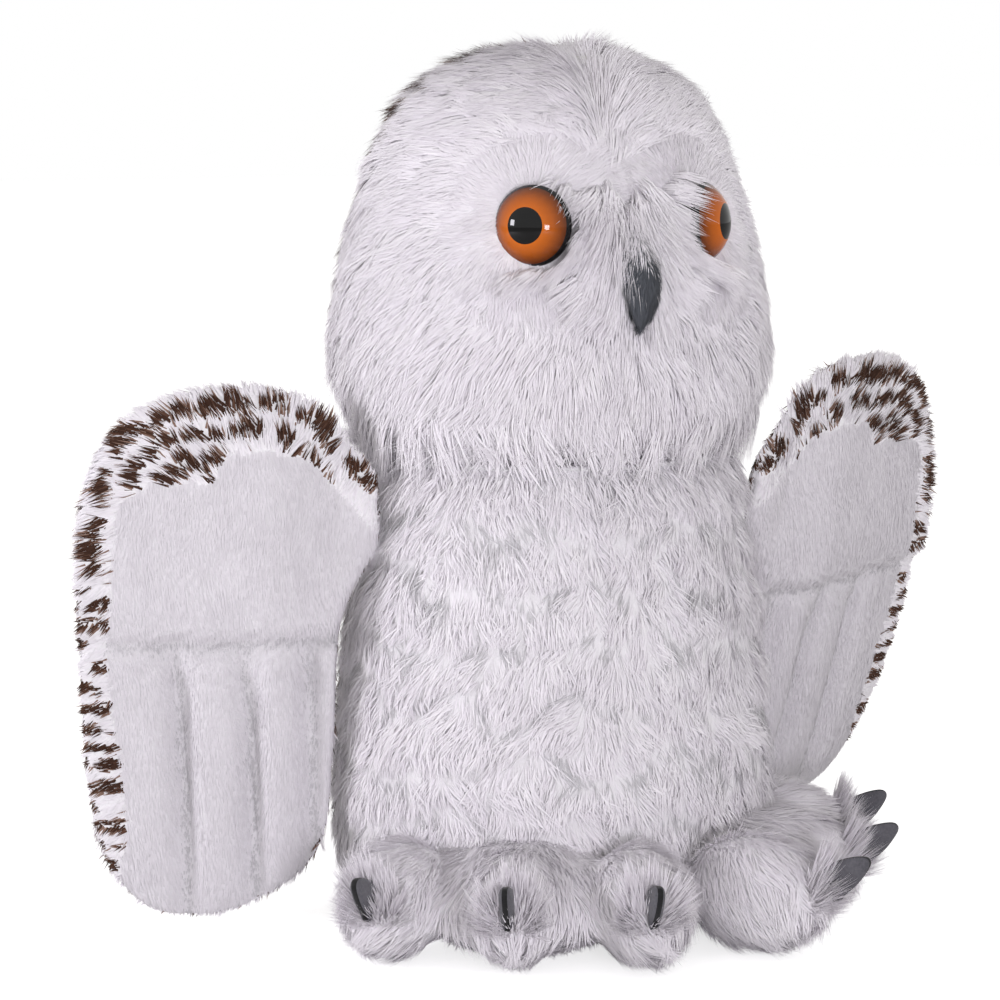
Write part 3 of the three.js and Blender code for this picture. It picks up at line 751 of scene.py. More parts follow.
outer, bodyFaces = uprightSkin(bodyForm)
bodySkin = outer - pointNormals(outer, bodyFaces) * bodySettings["inset"]
bodySkin[:, 2] = np.maximum(bodySkin[:, 2], 0.8)
bodySkin += pointNormals(outer, bodyFaces) * bellyRidge(bodySkin)[:, None]
atSeam = np.abs(bodySkin[:, 1] - sideSeam) < bodySettings["pinBand"]
nearFloor, nearNeck = bodySettings["pinEnds"]
atEnds = (bodySkin[:, 2] < nearFloor) | (bodySkin[:, 2] > bodyForm["height"] - nearNeck)
bodySkin = stuffSkin("body", bodySkin, bodyFaces, atSeam | atEnds, bodySettings["swell"])
bodyCloth = (bodySkin, bodyFaces)
splitCovers(bodyCloth, bodyForm, 5, bodySettings["fill"], (
    ("belly_cover", "belly_panel", False),
    ("back_cover", "back_panel", True),
))

bellyPile = dict(
    count=52000, length=9.5, width=0.47, lift=14, lay=6, tuft=(5.5, 5.5, 8),
    gather=0.4, turn=34, ruffle=7, wild=4.5, seed=11,
)


# Strands end at their row's lower edge, lift there, and lie flatter under the row above
def combBelly(roots):
    share = rowShare(roots)
    toEdge = (share * bellyRows["pitch"] + bellyRows["overhang"]) / bellyPile["length"]
    rise = smoothStep(*bellyRows["liftShares"], share) - 0.4 * smoothStep(*bellyRows["underShares"], share)
    return {
        "flow": downFlow(roots, 43),
        "lengths": np.clip(toEdge, 0.5, 1.0),
        "lifts": bellyRows["lift"] * rise,
    }


# Painted shade: on the front, strands that pass under the row above take the darker white in place of that
# row's shadow
def bellyShades(strands, rng):
    roots = strands[0]
    under = smoothStep(*bellyRows["underShares"], rowShare(roots))
    inPaintedShade = rng.uniform(size=len(roots)) < bellyRows["inPaintedShade"] * under * onFront(roots)
    return tuple(np.where(inPaintedShade, 3, shade) for shade in whiteShades(roots, rng))


growPile(
    "belly_pile", bellyPile, bodyCloth,
    lambda p: (p[:, 1] < sideSeam) * (p[:, 2] > bodySettings["pileFrom"]),
    combBelly, bellyShades, whitePile + [paintedShadePile], "white_plush",
)
backPile = dict(
    count=24000, length=6, width=0.76, lift=20, lay=10, tuft=(6, 6, 7),
    gather=0.3, turn=18, ruffle=8, wild=8, seed=12,
)
growPile(
    "back_pile", backPile, bodyCloth,
    lambda p: (p[:, 1] >= sideSeam) * (p[:, 2] > bodySettings["pileFrom"]),
    lambda roots: {"flow": downFlow(roots, 44)}, **printedCloth(bodyForm),
)
print("body made")

baseSettings = {"around": 72, "flat": 0.9, "fill": 0.5}


# Base: an oval cushion, flat below, whose rim is a half circle; rings run from the middle below
# over the rim to the middle above
def makeBase():
    low, high = nodeBox("base_panel")
    middle = (low + high) / 2
    half = (high - low) / 2
    flat = baseSettings["flat"]
    rim = np.linspace(0.2, math.pi - 0.2, 7)
    share = np.concatenate([np.linspace(0.1, flat, 5), flat + 0.1 * np.sin(rim), np.linspace(flat, 0.1, 5)])
    height = np.concatenate([np.full(5, -1.0), -np.cos(rim), np.full(5, 1.0)])
    angle = roundAngles(baseSettings["around"])
    x = middle[0] + half[0] * share[:, None] * np.cos(angle)
    y = middle[1] + half[1] * share[:, None] * np.sin(angle)
    z = middle[2] + (half[2] - 0.2) * height[:, None]
    points, faces = closedTube(columns(x, y, z))
    base = makeMesh("base_cover", points, faces, [velourBacking])
    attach(base, "torso")
    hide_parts("base_panel")


makeBase()

# Eyes stand on the face and look outwards and a little up
eyeSettings = {
    "radius": 12.2,
    "dome": 7.2,
    "rim": 1.4,
    "recess": 3.7,  # from the face's surface down to the back of the rim
    "splay": 45,
    "tilt": 3,
    "pupilShare": 0.45,
    "edgeShare": 0.93,  # where the black edge begins
    "stem": 2.5,
    "stemLength": 13,
    "around": 64,
    "iris": (0.45, 0.10, 0.006),
    "irisRim": (0.12, 0.028, 0.005),
    "irisLight": (0.60, 0.135, 0.006),
}


# The way an eye looks: outwards by the splay and up by the tilt
def eyeAxis(side):
    splay, tilt = math.radians(eyeSettings["splay"]) * side, math.radians(eyeSettings["tilt"])
    return np.array([math.sin(splay) * math.cos(tilt), -math.cos(splay) * math.cos(tilt), math.sin(tilt)])


# The point where an eye's axis meets the face, back from the tip of its dome
def eyeSpot(name, side):
    points = readPoints(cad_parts["eye_" + name].data).astype(float) / metresPerMm
    tip = points[np.argmax(points @ eyeAxis(side))]
    return tip - eyeAxis(side) * (eyeSettings["dome"] + eyeSettings["rim"] - eyeSettings["recess"])


eyes = {name: (eyeSpot(name, side), eyeAxis(side)) for name, side in sides.items()}

faceSettings = {
    "inset": 3.6,
    "discInset": 3.4,
    "discHalf": (24.5, 26.5),  # across and up
    "discShift": (0.5, -1.5),
    "discCrease": 0.9,  # where the clipped disc meets the long pile
    "partingDepth": 3.4,
    "partingWidth": 4.5,
    "partingRise": (84, 98),  # heights over the head's foot between which it begins
    "swell": 1.0,
    "fill": 0.8,
}


# How far a point is from the middle of the nearest clipped disc: 1 at its edge, and at least 9 for points
# that don't lie at the depth of an eye
def discDistance(points):
    nearest = np.full(len(points), 9.0)
    for spot, axis in eyes.values():
        off = points - spot
        right = unit(np.cross(axis, np.array([0, 0, 1.0])))
        up = np.cross(right, axis)
        x = (off @ right) - faceSettings["discShift"][0]
        z = (off @ up) - faceSettings["discShift"][1]
        half = faceSettings["discHalf"]
        onFace = np.where(np.abs(off @ axis) < 22, 0, 9)
        nearest = np.minimum(nearest, np.sqrt((x / half[0]) ** 2 + (z / half[1]) ** 2) + onFace)
    return nearest


# The seam from brow to crown: 1 on it, fading to either side and towards its ends
def partingShare(points):
    front = smoothStep(10, -10, points[:, 1])
    low, high = (headForm["floor"] + height for height in faceSettings["partingRise"])
    return bump(points[:, 0], faceSettings["partingWidth"]) * front * smoothStep(low, high, points[:, 2])


outer, headFaces = uprightSkin(headForm)
inDisc = 1 - smoothStep(0.9, 1.15, discDistance(outer))
inset = faceSettings["inset"] * (1 - inDisc) + faceSettings["discInset"] * inDisc
inset = inset + faceSettings["partingDepth"] * partingShare(outer)
inset = inset + faceSettings["discCrease"] * bump(discDistance(outer) - 1.08, 0.09)
headSkin = outer - pointNormals(outer, headFaces) * inset[:, None]
headSkin[:, 2] = np.maximum(headSkin[:, 2], headForm["floor"] - 4)
pinned = np.abs(headSkin[:, 1] - sideSeam) < bodySettings["pinBand"]
pinned |= (headSkin[:, 2] < headForm["floor"] + 5) | (partingShare(outer) > 0.6)
pinned |= discDistance(outer) < 0.65
pinned |= np.abs(discDistance(outer) - 1.05) < 0.07
headSkin = stuffSkin("head", headSkin, headFaces, pinned, faceSettings["swell"])
headCloth = (headSkin, headFaces)
splitCovers(headCloth, headForm, 6, faceSettings["fill"], (
    ("face_cover", "head_face_panel", False),
    ("head_back_cover", "head_back_panel", True),
))

facePile = dict(
    count=57000, length=10, width=0.47, lift=13, lay=6, tuft=(6.5, 6.5, 6.5),
    gather=0.3, turn=20, ruffle=4.5, wild=3, seed=21,
)
faceLay = {
    "cheek": (95, 40),  # heights between which the pile turns down over the cheeks
    "fan": 9,  # half width over which it turns from one side of the parting to the other
    "eyeReach": 30.0,  # how far round an eye the pile turns away from it, and how strongly
    "eyePush": 2.2,
    "crown": (78, 112),  # heights between which the printed pile comes forward, and how far
    "crownReach": 20,
    "outwards": 0.72,  # how much less the pile runs outwards on the cheeks
    "backwards": (0.30, 0.25),  # how strongly it runs backwards in the middle, and how much more beside it
    "down": (0.22, 1.05),  # how strongly it runs down on the forehead, and how much more on the cheeks
    "stray": (0.22, 0.18),  # how far locks stray across and up
    "longer": 0.5,  # on the cheeks
    "shorter": 0.3,  # round the discs
    "partingLift": 12,
    "discLift": 8,
}


# Pile flows away from the parting to either side, backwards along the sides, and down over the cheeks;
# round each eye it points away from the eye
def faceFlow(points):
    s = faceLay
    cheek = smoothStep(*s["cheek"], points[:, 2] - headForm["floor"])
    flow = np.zeros_like(points)
    flow[:, 0] = np.tanh(points[:, 0] / s["fan"]) * (1 - s["outwards"] * cheek)
    flow[:, 1] = s["backwards"][0] + s["backwards"][1] * np.abs(points[:, 0]) / headForm["halfWidth"]
    flow[:, 2] = -s["down"][0] - s["down"][1] * cheek
    flow[:, 0] += s["stray"][0] * wander(points, 24, 51)
    flow[:, 2] += s["stray"][1] * wander(points, 22, 52)
    for spot, axis in eyes.values():
        off = points - spot
        near = np.exp(-(np.sum(off**2, axis=1) / s["eyeReach"]**2)) * s["eyePush"]
        flow += unit(off) * near[:, None]
    return flow


# Where white pile gives way to printed pile: at the side seams, and further forward over the crown
def pileSeam(points):
    low, high = (headForm["floor"] + height for height in faceLay["crown"])
    return sideSeam - faceLay["crownReach"] * smoothStep(low, high, points[:, 2])


# Longer on the cheeks, shorter round the discs, and lifted along the parting
def combFace(roots):
    low = smoothStep(60, 8, roots[:, 2] - headForm["floor"])
    nearDisc = smoothStep(1.6, 1.0, discDistance(roots))
    return {
        "flow": faceFlow(roots),
        "lengths": 1 + faceLay["longer"] * low - faceLay["shorter"] * nearDisc,
        "lifts": faceLay["partingLift"] * partingShare(roots) + faceLay["discLift"] * nearDisc,
    }


growPile(
    "face_pile", facePile, headCloth,
    lambda p: (p[:, 1] < pileSeam(p)) * (discDistance(p) > 1.02), combFace, **whiteCloth,
)
discPile = dict(
    count=20000, length=4.4, width=0.5, lift=18, lay=10, tuft=(5, 5, 5),
    gather=0.2, turn=18, ruffle=6, wild=8, seed=22,
)


# Away from the eye, and a little down
def combDisc(roots):
    eyeSide = np.where(roots[:, 0] > 0, 1, 0)[:, None]
    fromEye = roots - (eyes["left"][0] * eyeSide + eyes["right"][0] * (1 - eyeSide))
    return {"flow": fromEye + [0, 0, -6.0]}


growPile(
    "eye_disc_pile", discPile, headCloth,
    lambda p: (p[:, 1] < sideSeam) * (discDistance(p) < 1.16) * (discDistance(p) > 0.36),
    combDisc, **whiteCloth, straight=True,
)
napePile = dict(backPile, count=23000, length=7, lift=24, lay=12, seed=23)
growPile(
    "nape_pile", napePile, headCloth, lambda p: p[:, 1] >= pileSeam(p),
    lambda roots: {"flow": downFlow(roots, 45) + [0, 0.25, 0]}, **printedCloth(headForm),
)
neckPile = dict(
    facePile, count=9000, length=17, lift=5, lay=-12, tuft=(5, 5, 9), gather=0.5, seed=25,
    level=(1, 1, 0),  # so that it hangs clear of the neck
    band=(-2, 18),  # heights over the head's foot that it grows between
)


# All round the front of the neck, in its band of heights
def onNeck(points):
    low, high = (headForm["floor"] + height for height in neckPile["band"])
    return (points[:, 1] < sideSeam) * (points[:, 2] < high) * (points[:, 2] > low)


# Lengths differ from lock to lock, so that the hanging edge is ragged
def combNeck(roots):
    cell = tuftOf(roots, (6, 6, 12))[1]
    return {"flow": downFlow(roots, 47), "lengths": 0.55 + 0.9 * cellNoise(cell, 15)}


growPile("neck_pile", neckPile, headCloth, onNeck, combNeck, **whiteCloth)
collarPile = dict(
    facePile, count=7500, length=10, lift=46, lay=26, gather=0.4, ruffle=12, seed=26,
    level=(1, 1, 0.2),
    band=(-16, -4, -3.5),  # denser from the first to the second height, none above the third
)


def onCollar(points):
    height = points[:, 2] - headForm["floor"]
    low, full, high = collarPile["band"]
    under = points[:, 2] < headForm["floor"] + high
    return (points[:, 1] < sideSeam) * smoothStep(low, full, height) * under


growPile(
    "collar_pile", collarPile, bodyCloth, onCollar,
    lambda roots: {"flow": downFlow(roots, 48)}, **whiteCloth,
)
muzzlePile = dict(
    facePile, count=8500, length=14, lift=34, lay=2, gather=0.2, seed=24,
    halfWidth=19, halfHeight=21, below=6,  # its patch, and how far below the eyes it lies
    gap=2.5,  # half of the bare strip for the beak
    offEye=0.7,  # how far from an eye's middle it begins, as discDistance counts
)
eyeHeight = eyes["left"][0][2]


# Denser towards the middle of the muzzle; none on the parting, where the beak is, or by the eyes
def onMuzzle(points):
    across = np.abs(points[:, 0]) / muzzlePile["halfWidth"]
    down = (points[:, 2] - eyeHeight + muzzlePile["below"]) / muzzlePile["halfHeight"]
    inside = np.clip(1 - across**2 - down**2, 0, 1)
    free = (np.abs(points[:, 0]) > muzzlePile["gap"]) * (discDistance(points) > muzzlePile["offEye"])
    return inside * (points[:, 1] < 0) * free


# Down, and outwards in proportion to the distance from the middle
def fanDown(roots, spread):
    return columns(roots[:, 0] * spread, 0, -1)


growPile(
    "muzzle_pile", muzzlePile, headCloth, onMuzzle,
    lambda roots: {"flow": fanDown(roots, 0.075)}, **whiteCloth,
)
print("head made")


# Eyes, beak and its bristles

eyeGloss = {"Roughness": 0.05, "Specular IOR Level": 0.28}


# Iris: orange, darker towards its rim, by the distance from the eye's axis and a little grain
def irisMaterial(name, spot, axis):
    material, tree, shader = newMaterial("iris_" + name)
    place = addNode(tree, "ShaderNodeTexCoord", {}).outputs["Object"]
    middle = tuple(spot * metresPerMm)
    off = addNode(tree, "ShaderNodeVectorMath", {0: place, 1: middle}, "SUBTRACT").outputs["Vector"]
    across = addNode(tree, "ShaderNodeVectorMath", {0: off, 1: tuple(axis)}, "CROSS_PRODUCT")
    away = addNode(tree, "ShaderNodeVectorMath", {0: across.outputs["Vector"]}, "LENGTH").outputs["Value"]
    share = addNode(tree, "ShaderNodeMath", {0: away, 1: eyeSettings["radius"] * metresPerMm}, "DIVIDE")
    grain = addNode(tree, "ShaderNodeTexNoise", {"Scale": 700, "Vector": place})
    mixed = addNode(
        tree, "ShaderNodeMath",
        {0: grain.outputs["Fac"], 1: 0.06, 2: share.outputs["Value"]}, "MULTIPLY_ADD",
    )
    stops = [(0.5, eyeSettings["irisLight"]), (0.95, eyeSettings["irisRim"]), (0.70, eyeSettings["iris"])]
    setInputs(tree, shader, {"Base Color": addRamp(tree, mixed.outputs["Value"], stops), **eyeGloss})
    return material


blackPlastic, tree, shader = newMaterial("black_plastic")
setInputs(tree, shader, {"Base Color": (0.004, 0.004, 0.004, 1), **eyeGloss})


# Safety eye: a profile turned about the eye's axis. The dome is a cap of a sphere on a thin rim,
# with the stem behind it.
def makeEye(name):
    s = eyeSettings
    spot, axis = eyes[name]
    capRadius = (s["radius"] ** 2 + s["dome"] ** 2) / (2 * s["dome"])
    steep = math.asin(s["radius"] / capRadius)
    edge = math.asin(s["edgeShare"] * s["radius"] / capRadius)
    pupil = math.asin(s["pupilShare"] * s["radius"] / capRadius)
    slopes = np.concatenate([
        np.linspace(steep, edge, 4)[:-1], np.linspace(edge, pupil, 12)[:-1], np.linspace(pupil, 0.02, 10),
    ])
    reach = capRadius * np.sin(slopes)
    rise = capRadius * (np.cos(slopes) - math.cos(steep)) + s["rim"]
    radii = np.concatenate([[s["stem"], s["stem"], s["radius"] * 0.96, s["radius"]], reach])
    heights = np.concatenate([[-s["stemLength"], 0, 0, 0.4], rise]) - s["recess"]
    angle = roundAngles(s["around"])
    right = unit(np.cross(axis, np.array([0, 0, 1.0])))
    up = np.cross(right, axis)
    circle = np.cos(angle)[:, None] * right + np.sin(angle)[:, None] * up
    rings = spot + heights[:, None, None] * axis + radii[:, None, None] * circle
    points, faces = closedTube(rings)
    off = points[faces].mean(axis=1) - spot
    outwards = np.linalg.norm(np.cross(off, axis), axis=1) / s["radius"]
    iris = (outwards > s["pupilShare"]) & (outwards < s["edgeShare"]) & (off @ axis > s["rim"] - s["recess"])
    eye = makeMesh("eye_dome_" + name, points, faces, [blackPlastic, irisMaterial(name, spot, axis)], iris)
    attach(eye, "torso")
    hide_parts("eye_" + name)


for name in sides:
    makeEye(name)

lashPile = dict(
    facePile, count=2600, length=12.5, lift=54, lay=30, gather=0.3, turn=16, seed=33,
    band=(0.4, 3.6),  # distances from the eye's edge that it grows between
)


# A crescent beside the inner and lower edge of each eye
def besideEye(points):
    weight = np.zeros(len(points))
    near, far = (eyeSettings["radius"] + gap for gap in lashPile["band"])
    for name, side in sides.items():
        spot, axis = eyes[name]
        off = points - spot
        away = np.linalg.norm(np.cross(off, axis), axis=1)
        inner = smoothStep(2, 9, -side * off[:, 0] - 0.5 * off[:, 2])
        weight += inner * (away > near) * (away < far) * (off[:, 1] < 25)
    return weight


# Down and away from the middle
def combLash(roots):
    return {"flow": columns(np.sign(roots[:, 0]) * 0.9, 0, -1)}


growPile("lash_pile", lashPile, headCloth, besideEye, combLash, **whiteCloth)

beakSettings = {
    "lengths": [0, 0.12, 0.35, 0.6, 0.85, 1],
    "widths": [0.3, 0.62, 0.95, 1, 0.62, 0.16],
    "reaches": [-0.75, -0.4, 0, 0.3, 0.42, 0.35],
    "halfWidth": 5,
    "halfDepth": 6.2,
    "standOut": 1,
    "fill": 0.8,
    "rows": 40,
    "around": 32,
    "ridge": 0.8,  # how far the seam down its middle stands out, and its half width in radians
    "ridgeWidth": 0.16,
}


# Beak: level ovals down its length, which lean forwards and then hook in, with a ridge in front
def beakRings():
    s = beakSettings
    low, high = nodeBox("beak")
    length = high[2] - low[2]
    t = np.linspace(0, 1, s["rows"])
    wide = smoothCurve(columns(s["lengths"], s["widths"]), t)
    lean = smoothCurve(columns(s["lengths"], s["reaches"]), t)[:, 1] * s["halfDepth"]
    half = s["halfWidth"] * wide[:, 1]
    deep = s["halfDepth"] * wide[:, 1]
    forward = frontAt(headForm, high[2] - length / 2) + s["standOut"] + lean
    angle = roundAngles(s["around"])
    ridge = 1 + s["ridge"] * np.exp(-(((angle - 1.5 * math.pi) / s["ridgeWidth"]) ** 2)) / s["halfDepth"]
    x = half[:, None] * np.cos(angle)
    y = deep[:, None] * np.sin(angle) * ridge - forward[:, None]
    z = high[2] - length * wide[:, :1]
    return closedTube(columns(x, y, z))


beakSkin = beakRings()
beak = makeMesh("beak_cover", *beakSkin, [beakCloth])
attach(beak, "torso")
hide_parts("beak")

beakNap = dict(
    count=5200, length=4, width=0.3, lift=12, lay=5, tuft=(3, 3, 3),
    gather=0.15, turn=10, ruffle=8, wild=7, seed=31,
    whiteDrop=15,  # its strands turn white over this height, towards its top
)
beakTop = nodeBox("beak")[1][2]


def beakShades(strands, rng):
    roots = strands[0]
    whiteShare = 0.85 * smoothStep(beakTop - beakNap["whiteDrop"], beakTop - 3, roots[:, 2])
    shade = np.where(rng.uniform(size=len(roots)) < whiteShare, 1, 0)
    return shade, shade


growPile(
    "beak_nap", beakNap, beakSkin, lambda p: p[:, 1] < np.inf,
    lambda roots: {"flow": downFlow(roots, 46)}, beakShades, beakPile + whitePile, "beak_cloth",
)
bristles = dict(
    count=620, length=19, width=0.26, lift=58, lay=16, tuft=(5, 5, 5),
    gather=0.1, turn=12, ruffle=8, wild=6, seed=32,
    spread=9,  # half width and half height of the patch between the eyes
)
growPile(
    "beak_bristles", bristles, headCloth,
    lambda p: (p[:, 1] < 0) * (np.abs(p[:, [0, 2]] - [0, beakTop]).max(axis=1) < bristles["spread"]),
    lambda roots: {"flow": fanDown(roots, 0.05)}, **whiteCloth,
)
print("eyes and beak made")


# Wings and tail: flat stuffed pads

padShape = {"rootShare": 0.12, "rootOffset": 0.02, "tipShare": 0.16, "tipOffset": 0.005, "edgePower": 0.75}

wingForm = {
    "reach": 89,
    "rise": 36,
    "drop": 135,
    "hinge": (69.8, -15, 137),
    "nose": 6,
    "thickness": 13.5,
    "growth": 0.33,
    "upperReach": [-0.0594, 0.03, 0.12, 0.29, 0.5, 0.7, 0.86, 0.96, 1],
    "upperRise": [0.25, 0.5, 0.8, 0.98, 1, 0.88, 0.58, 0, -0.85],
    "lowerReach": [-0.0594, 0.08, 0.12, 0.18, 0.39, 0.63, 0.84, 0.965, 1],
    "lowerDrop": [0.13, 0.31, 0.62, 0.84, 0.96, 1, 0.95, 0.74, 0.235],
    "seamDrop": 0.33,
    "seamWidth": 5,
    "featherShare": 0.74,
    "crease": 0.38,
    "channels": [0.19, 0.4, 0.64],
    "channelWidth": 3.4,
    "channelDepth": 0.7,
    "sweep": 24,
    "leans": {"left": (17, 3), "right": (2, 2)},  # backwards and inwards
    "rows": 68,
    "lanes": 84,
}
seamHeight = -wingForm["drop"] * wingForm["seamDrop"]


# Half thickness of the wing at a place on it: thin at the root, thinner below the feather seam,
# and drawn in along the seam and the channels
def wingHalf(x, z):
    s = wingForm
    growth = smoothStep(s["nose"], s["reach"] * s["growth"], x)
    full = s["nose"] + (s["thickness"] - s["nose"]) * growth
    below = smoothStep(-s["seamWidth"], s["seamWidth"], seamHeight - z)
    lines = (bump(x - share * s["reach"], s["channelWidth"]) for share in s["channels"])
    groove = 1 - sum(s["channelDepth"] * line * below for line in lines)
    crease = 1 - s["crease"] * bump(z - seamHeight, s["seamWidth"] * 0.7)
    return full * (1 - (1 - s["featherShare"]) * below) * crease * groove


# A pad as rings from its root to its tip. Each ring goes down the front face and up the back;
# lanes are closer together at the edges, and the thickness is half(x, z) * ends * sin(pi s)^power.
def padSkin(upper, lower, half, rows, lanes, frontInset, backInset, edgeInset):
    t = np.linspace(0, 1, rows)
    top, bottom = smoothCurve(upper, t), smoothCurve(lower, t)
    root = np.minimum(1, (t + padShape["rootOffset"]) / padShape["rootShare"])
    tip = np.minimum(1, (1 - t + padShape["tipOffset"]) / padShape["tipShare"])
    ends = np.sqrt(1 - (1 - root) ** 2) * np.sqrt(1 - (1 - tip) ** 2)
    step = np.arange(lanes) / lanes
    along = np.concatenate([step, 1 - step])
    face = np.concatenate([-np.ones(lanes), np.ones(lanes)])
    lane = (1 - np.cos(math.pi * along)) / 2
    x = top[:, :1] * (1 - lane) + bottom[:, :1] * lane
    z = top[:, 1:] * (1 - lane) + bottom[:, 1:] * lane
    full = half(x, z) * ends[:, None] * np.sin(math.pi * along) ** padShape["edgePower"]
    inset = np.where(face < 0, frontInset, backInset)
    thick = np.maximum(full - inset, 0.3 * full)
    # drawn in along the outline, so that the pile reaches the outline that the cloth had
    tall = np.maximum(top[:, 1:] - bottom[:, 1:], 1)
    z = z - edgeInset * (1 - 2 * lane) * np.minimum(1, tall / 20)
    x = x - edgeInset * smoothStep(0.86, 1, t)[:, None]
    return closedTube(columns(x, face * thick, z))


# How far a CAD solid reaches to the front (face -1) or back (face 1) at each place: the furthest y of its
# triangles there, by a place's shares u and v of a triangle's two sides
def solidReach(name, place, points, face):
    turn, shift = place
    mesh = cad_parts[name].data
    spots = (readPoints(mesh) / metresPerMm - shift) @ turn
    a, b, c = cornersOf(spots, readTriangles(mesh))
    ab, ac = b - a, c - a
    offX = points[:, :1] - a[:, 0]
    offZ = points[:, 2:] - a[:, 2]
    size = ab[:, 0] * ac[:, 2] - ab[:, 2] * ac[:, 0]
    size = np.where(np.abs(size) < 1e-6, 1e-6, size)
    u = (offX * ac[:, 2] - offZ * ac[:, 0]) / size
    v = (ab[:, 0] * offZ - ab[:, 2] * offX) / size
    y = a[:, 1] + u * ab[:, 1] + v * ac[:, 1]
    inside = (u >= 0) & (v >= 0) & (u + v <= 1)
    return np.where(inside, y * face, -99).max(axis=1)


wingSettings = {
    "frontInset": 0.9,
    "backInset": 2.2,
    "edgeInset": 2.2,
    "clearance": 0.45,  # between the stuffing and the cover's outside
    "swell": 1.6,
    "fill": 0.7,
    "band": 27,  # how far the printed cloth wraps over the leading edge
    "bandInner": 20,  # the same near the body
    "strip": 9,  # and over the outer edge
    "stripTop": 5,  # how much wider at its upper end
    "stripScale": 0.3,  # how much closer the bars are on that strip
    "cornerHeight": -24,  # where the bars stop following the leading edge
    "lowEnd": (0.84, 0.97),  # shares of the drop between which the printed pile gets shorter, and how much
    "lowShorter": 0.6,
    "stripShorter": 0.35,  # how much shorter it is on the strip
    "rootShare": 0.35,  # how long it is next to the body
}


# The upper and the lower outline of a wing, from its root to its tip
def wingCurves():
    s = wingForm
    upper = columns(s["upperReach"], s["upperRise"]) * [s["reach"], s["rise"]]
    lower = columns(s["lowerReach"], s["lowerDrop"]) * [s["reach"], -s["drop"]]
    return upper, lower


# How far along the leading edge the nearest place on it lies, how far away that is, and the edge's
# course there
def alongEdge(points):
    line = smoothCurve(wingCurves()[0], np.linspace(0, 1, 160))
    length = np.concatenate([[0], np.cumsum(np.linalg.norm(np.diff(line, axis=0), axis=1))])
    flat = points[:, [0, 2]].astype(np.float32)
    away = ((flat[:, None] - line[None].astype(np.float32)) ** 2).sum(axis=2)
    nearest = away.argmin(axis=1)
    away = np.sqrt(away[np.arange(len(points)), nearest])
    course = unit(np.gradient(line, axis=0))[nearest]
    return length[nearest], away, columns(course[:, 0], 0, course[:, 1])


# How deep inside the printed wrap a place on the front face lies: above 0 in the wrap. It is the larger
# of two depths, from the leading edge and from the outer edge, less the distance to that edge.
def wrapDepth(points):
    w, drop = wingSettings, wingForm["drop"]
    top = smoothCurve(wingCurves()[0], np.linspace(0, 1, 200))
    edgeZ = np.interp(points[:, 0], top[:, 0], top[:, 1])
    width = w["bandInner"] + (w["band"] - w["bandInner"]) * smoothStep(10, 60, points[:, 0])
    fromTop = width + 3 * wander(points, 12, 61) - (edgeZ - points[:, 2])
    strip = w["strip"] * smoothStep(-drop * 0.98, -drop * 0.7, points[:, 2])
    strip = strip + w["stripTop"] * smoothStep(-drop * 0.4, -drop * 0.15, points[:, 2])
    heights = np.append(top[100:, 1], -drop)
    reaches = np.append(top[100:, 0], wingForm["reach"] * 0.9)
    outer = np.interp(-points[:, 2], -heights, reaches)
    fromEdge = strip + 1.5 * wander(points, 9, 62) - (outer - points[:, 0])
    return np.maximum(fromTop, fromEdge)


wingBandPile = dict(backPile, count=28000, length=4.7, lift=22, lay=10, tuft=(5, 5, 6), seed=41)
velourNap = dict(
    count=21000, length=2.7, width=0.54, lift=13, lay=7, tuft=(9, 9, 12),
    gather=0, turn=7, ruffle=2, wild=3, seed=42,
    grooveShorter=0.55,  # in the sewn grooves its strands are shorter by this share and lift by this angle
    grooveLift=16,
)


# A wing's turn and shift from its own axes to the owl's, mirrored for the right one
def wingPlace(name):
    back, inward = wingForm["leans"][name]
    turn = turnAbout(0, back) @ turnAbout(1, inward) @ turnAbout(2, wingForm["sweep"])
    mirror = np.diag([sides[name], 1, 1])
    return mirror @ turn, mirror @ np.array(wingForm["hinge"])


# Bars on the wing: along the leading edge in front, level on the outer strip and behind
def wingShades(points, inFront, lower, rng):
    along, inwards = alongEdge(points)[:2]
    follow = inFront & ~lower
    closer = wingSettings["stripScale"] * inFront * lower + 1
    across = np.where(follow, along, points[:, 0] + 5)
    return barShades(across, np.where(follow, -inwards, points[:, 2] * closer), rng)


# 1 on the wing's channels, below the feather seam
def channelShare(points, x, width):
    lines = [bump(x - share * wingForm["reach"], width) for share in wingForm["channels"]]
    return np.stack(lines).max(axis=0) * (points[:, 2] < seamHeight)


# 1 in the sewn grooves of the velour face, fading out beside them
def grooveShare(points):
    return np.maximum(bump(points[:, 2] - seamHeight + 1.5, 5.5), channelShare(points, points[:, 0], 4.5))


# Share of nap strands that take the painted groove shade: 1 on the seam and the channels themselves, which
# waver a little
def paintedSeamShade(points):
    x = points[:, 0] + 0.8 * wander(points, 14, 65)
    return np.maximum(bump(points[:, 2] - seamHeight, 1.8), channelShare(points, x, 1.3))


# The skin of a wing, kept outside its stuffing, and swollen between its seams
def wingSkin(body, place):
    w = wingSettings
    skin, faces = padSkin(
        *wingCurves(), wingHalf, wingForm["rows"], wingForm["lanes"],
        w["frontInset"], w["backInset"], w["edgeInset"],
    )
    face = np.where(skin[:, 1] < 0, -1, 1)
    for way in (-1, 1):
        reach = solidReach(body + "_stuffing", place, skin[face == way], way)
        skin[face == way, 1] = way * np.maximum(way * skin[face == way, 1], reach + w["clearance"])
    sewn = np.abs(skin[:, 1]) < 1.0
    sewn |= np.abs(skin[:, 2] - seamHeight) < 1.2
    for share in wingForm["channels"]:
        sewn |= (np.abs(skin[:, 0] - share * wingForm["reach"]) < 1.3) & (skin[:, 2] < seamHeight)
    return stuffSkin(body, skin, faces, sewn, w["swell"]), faces


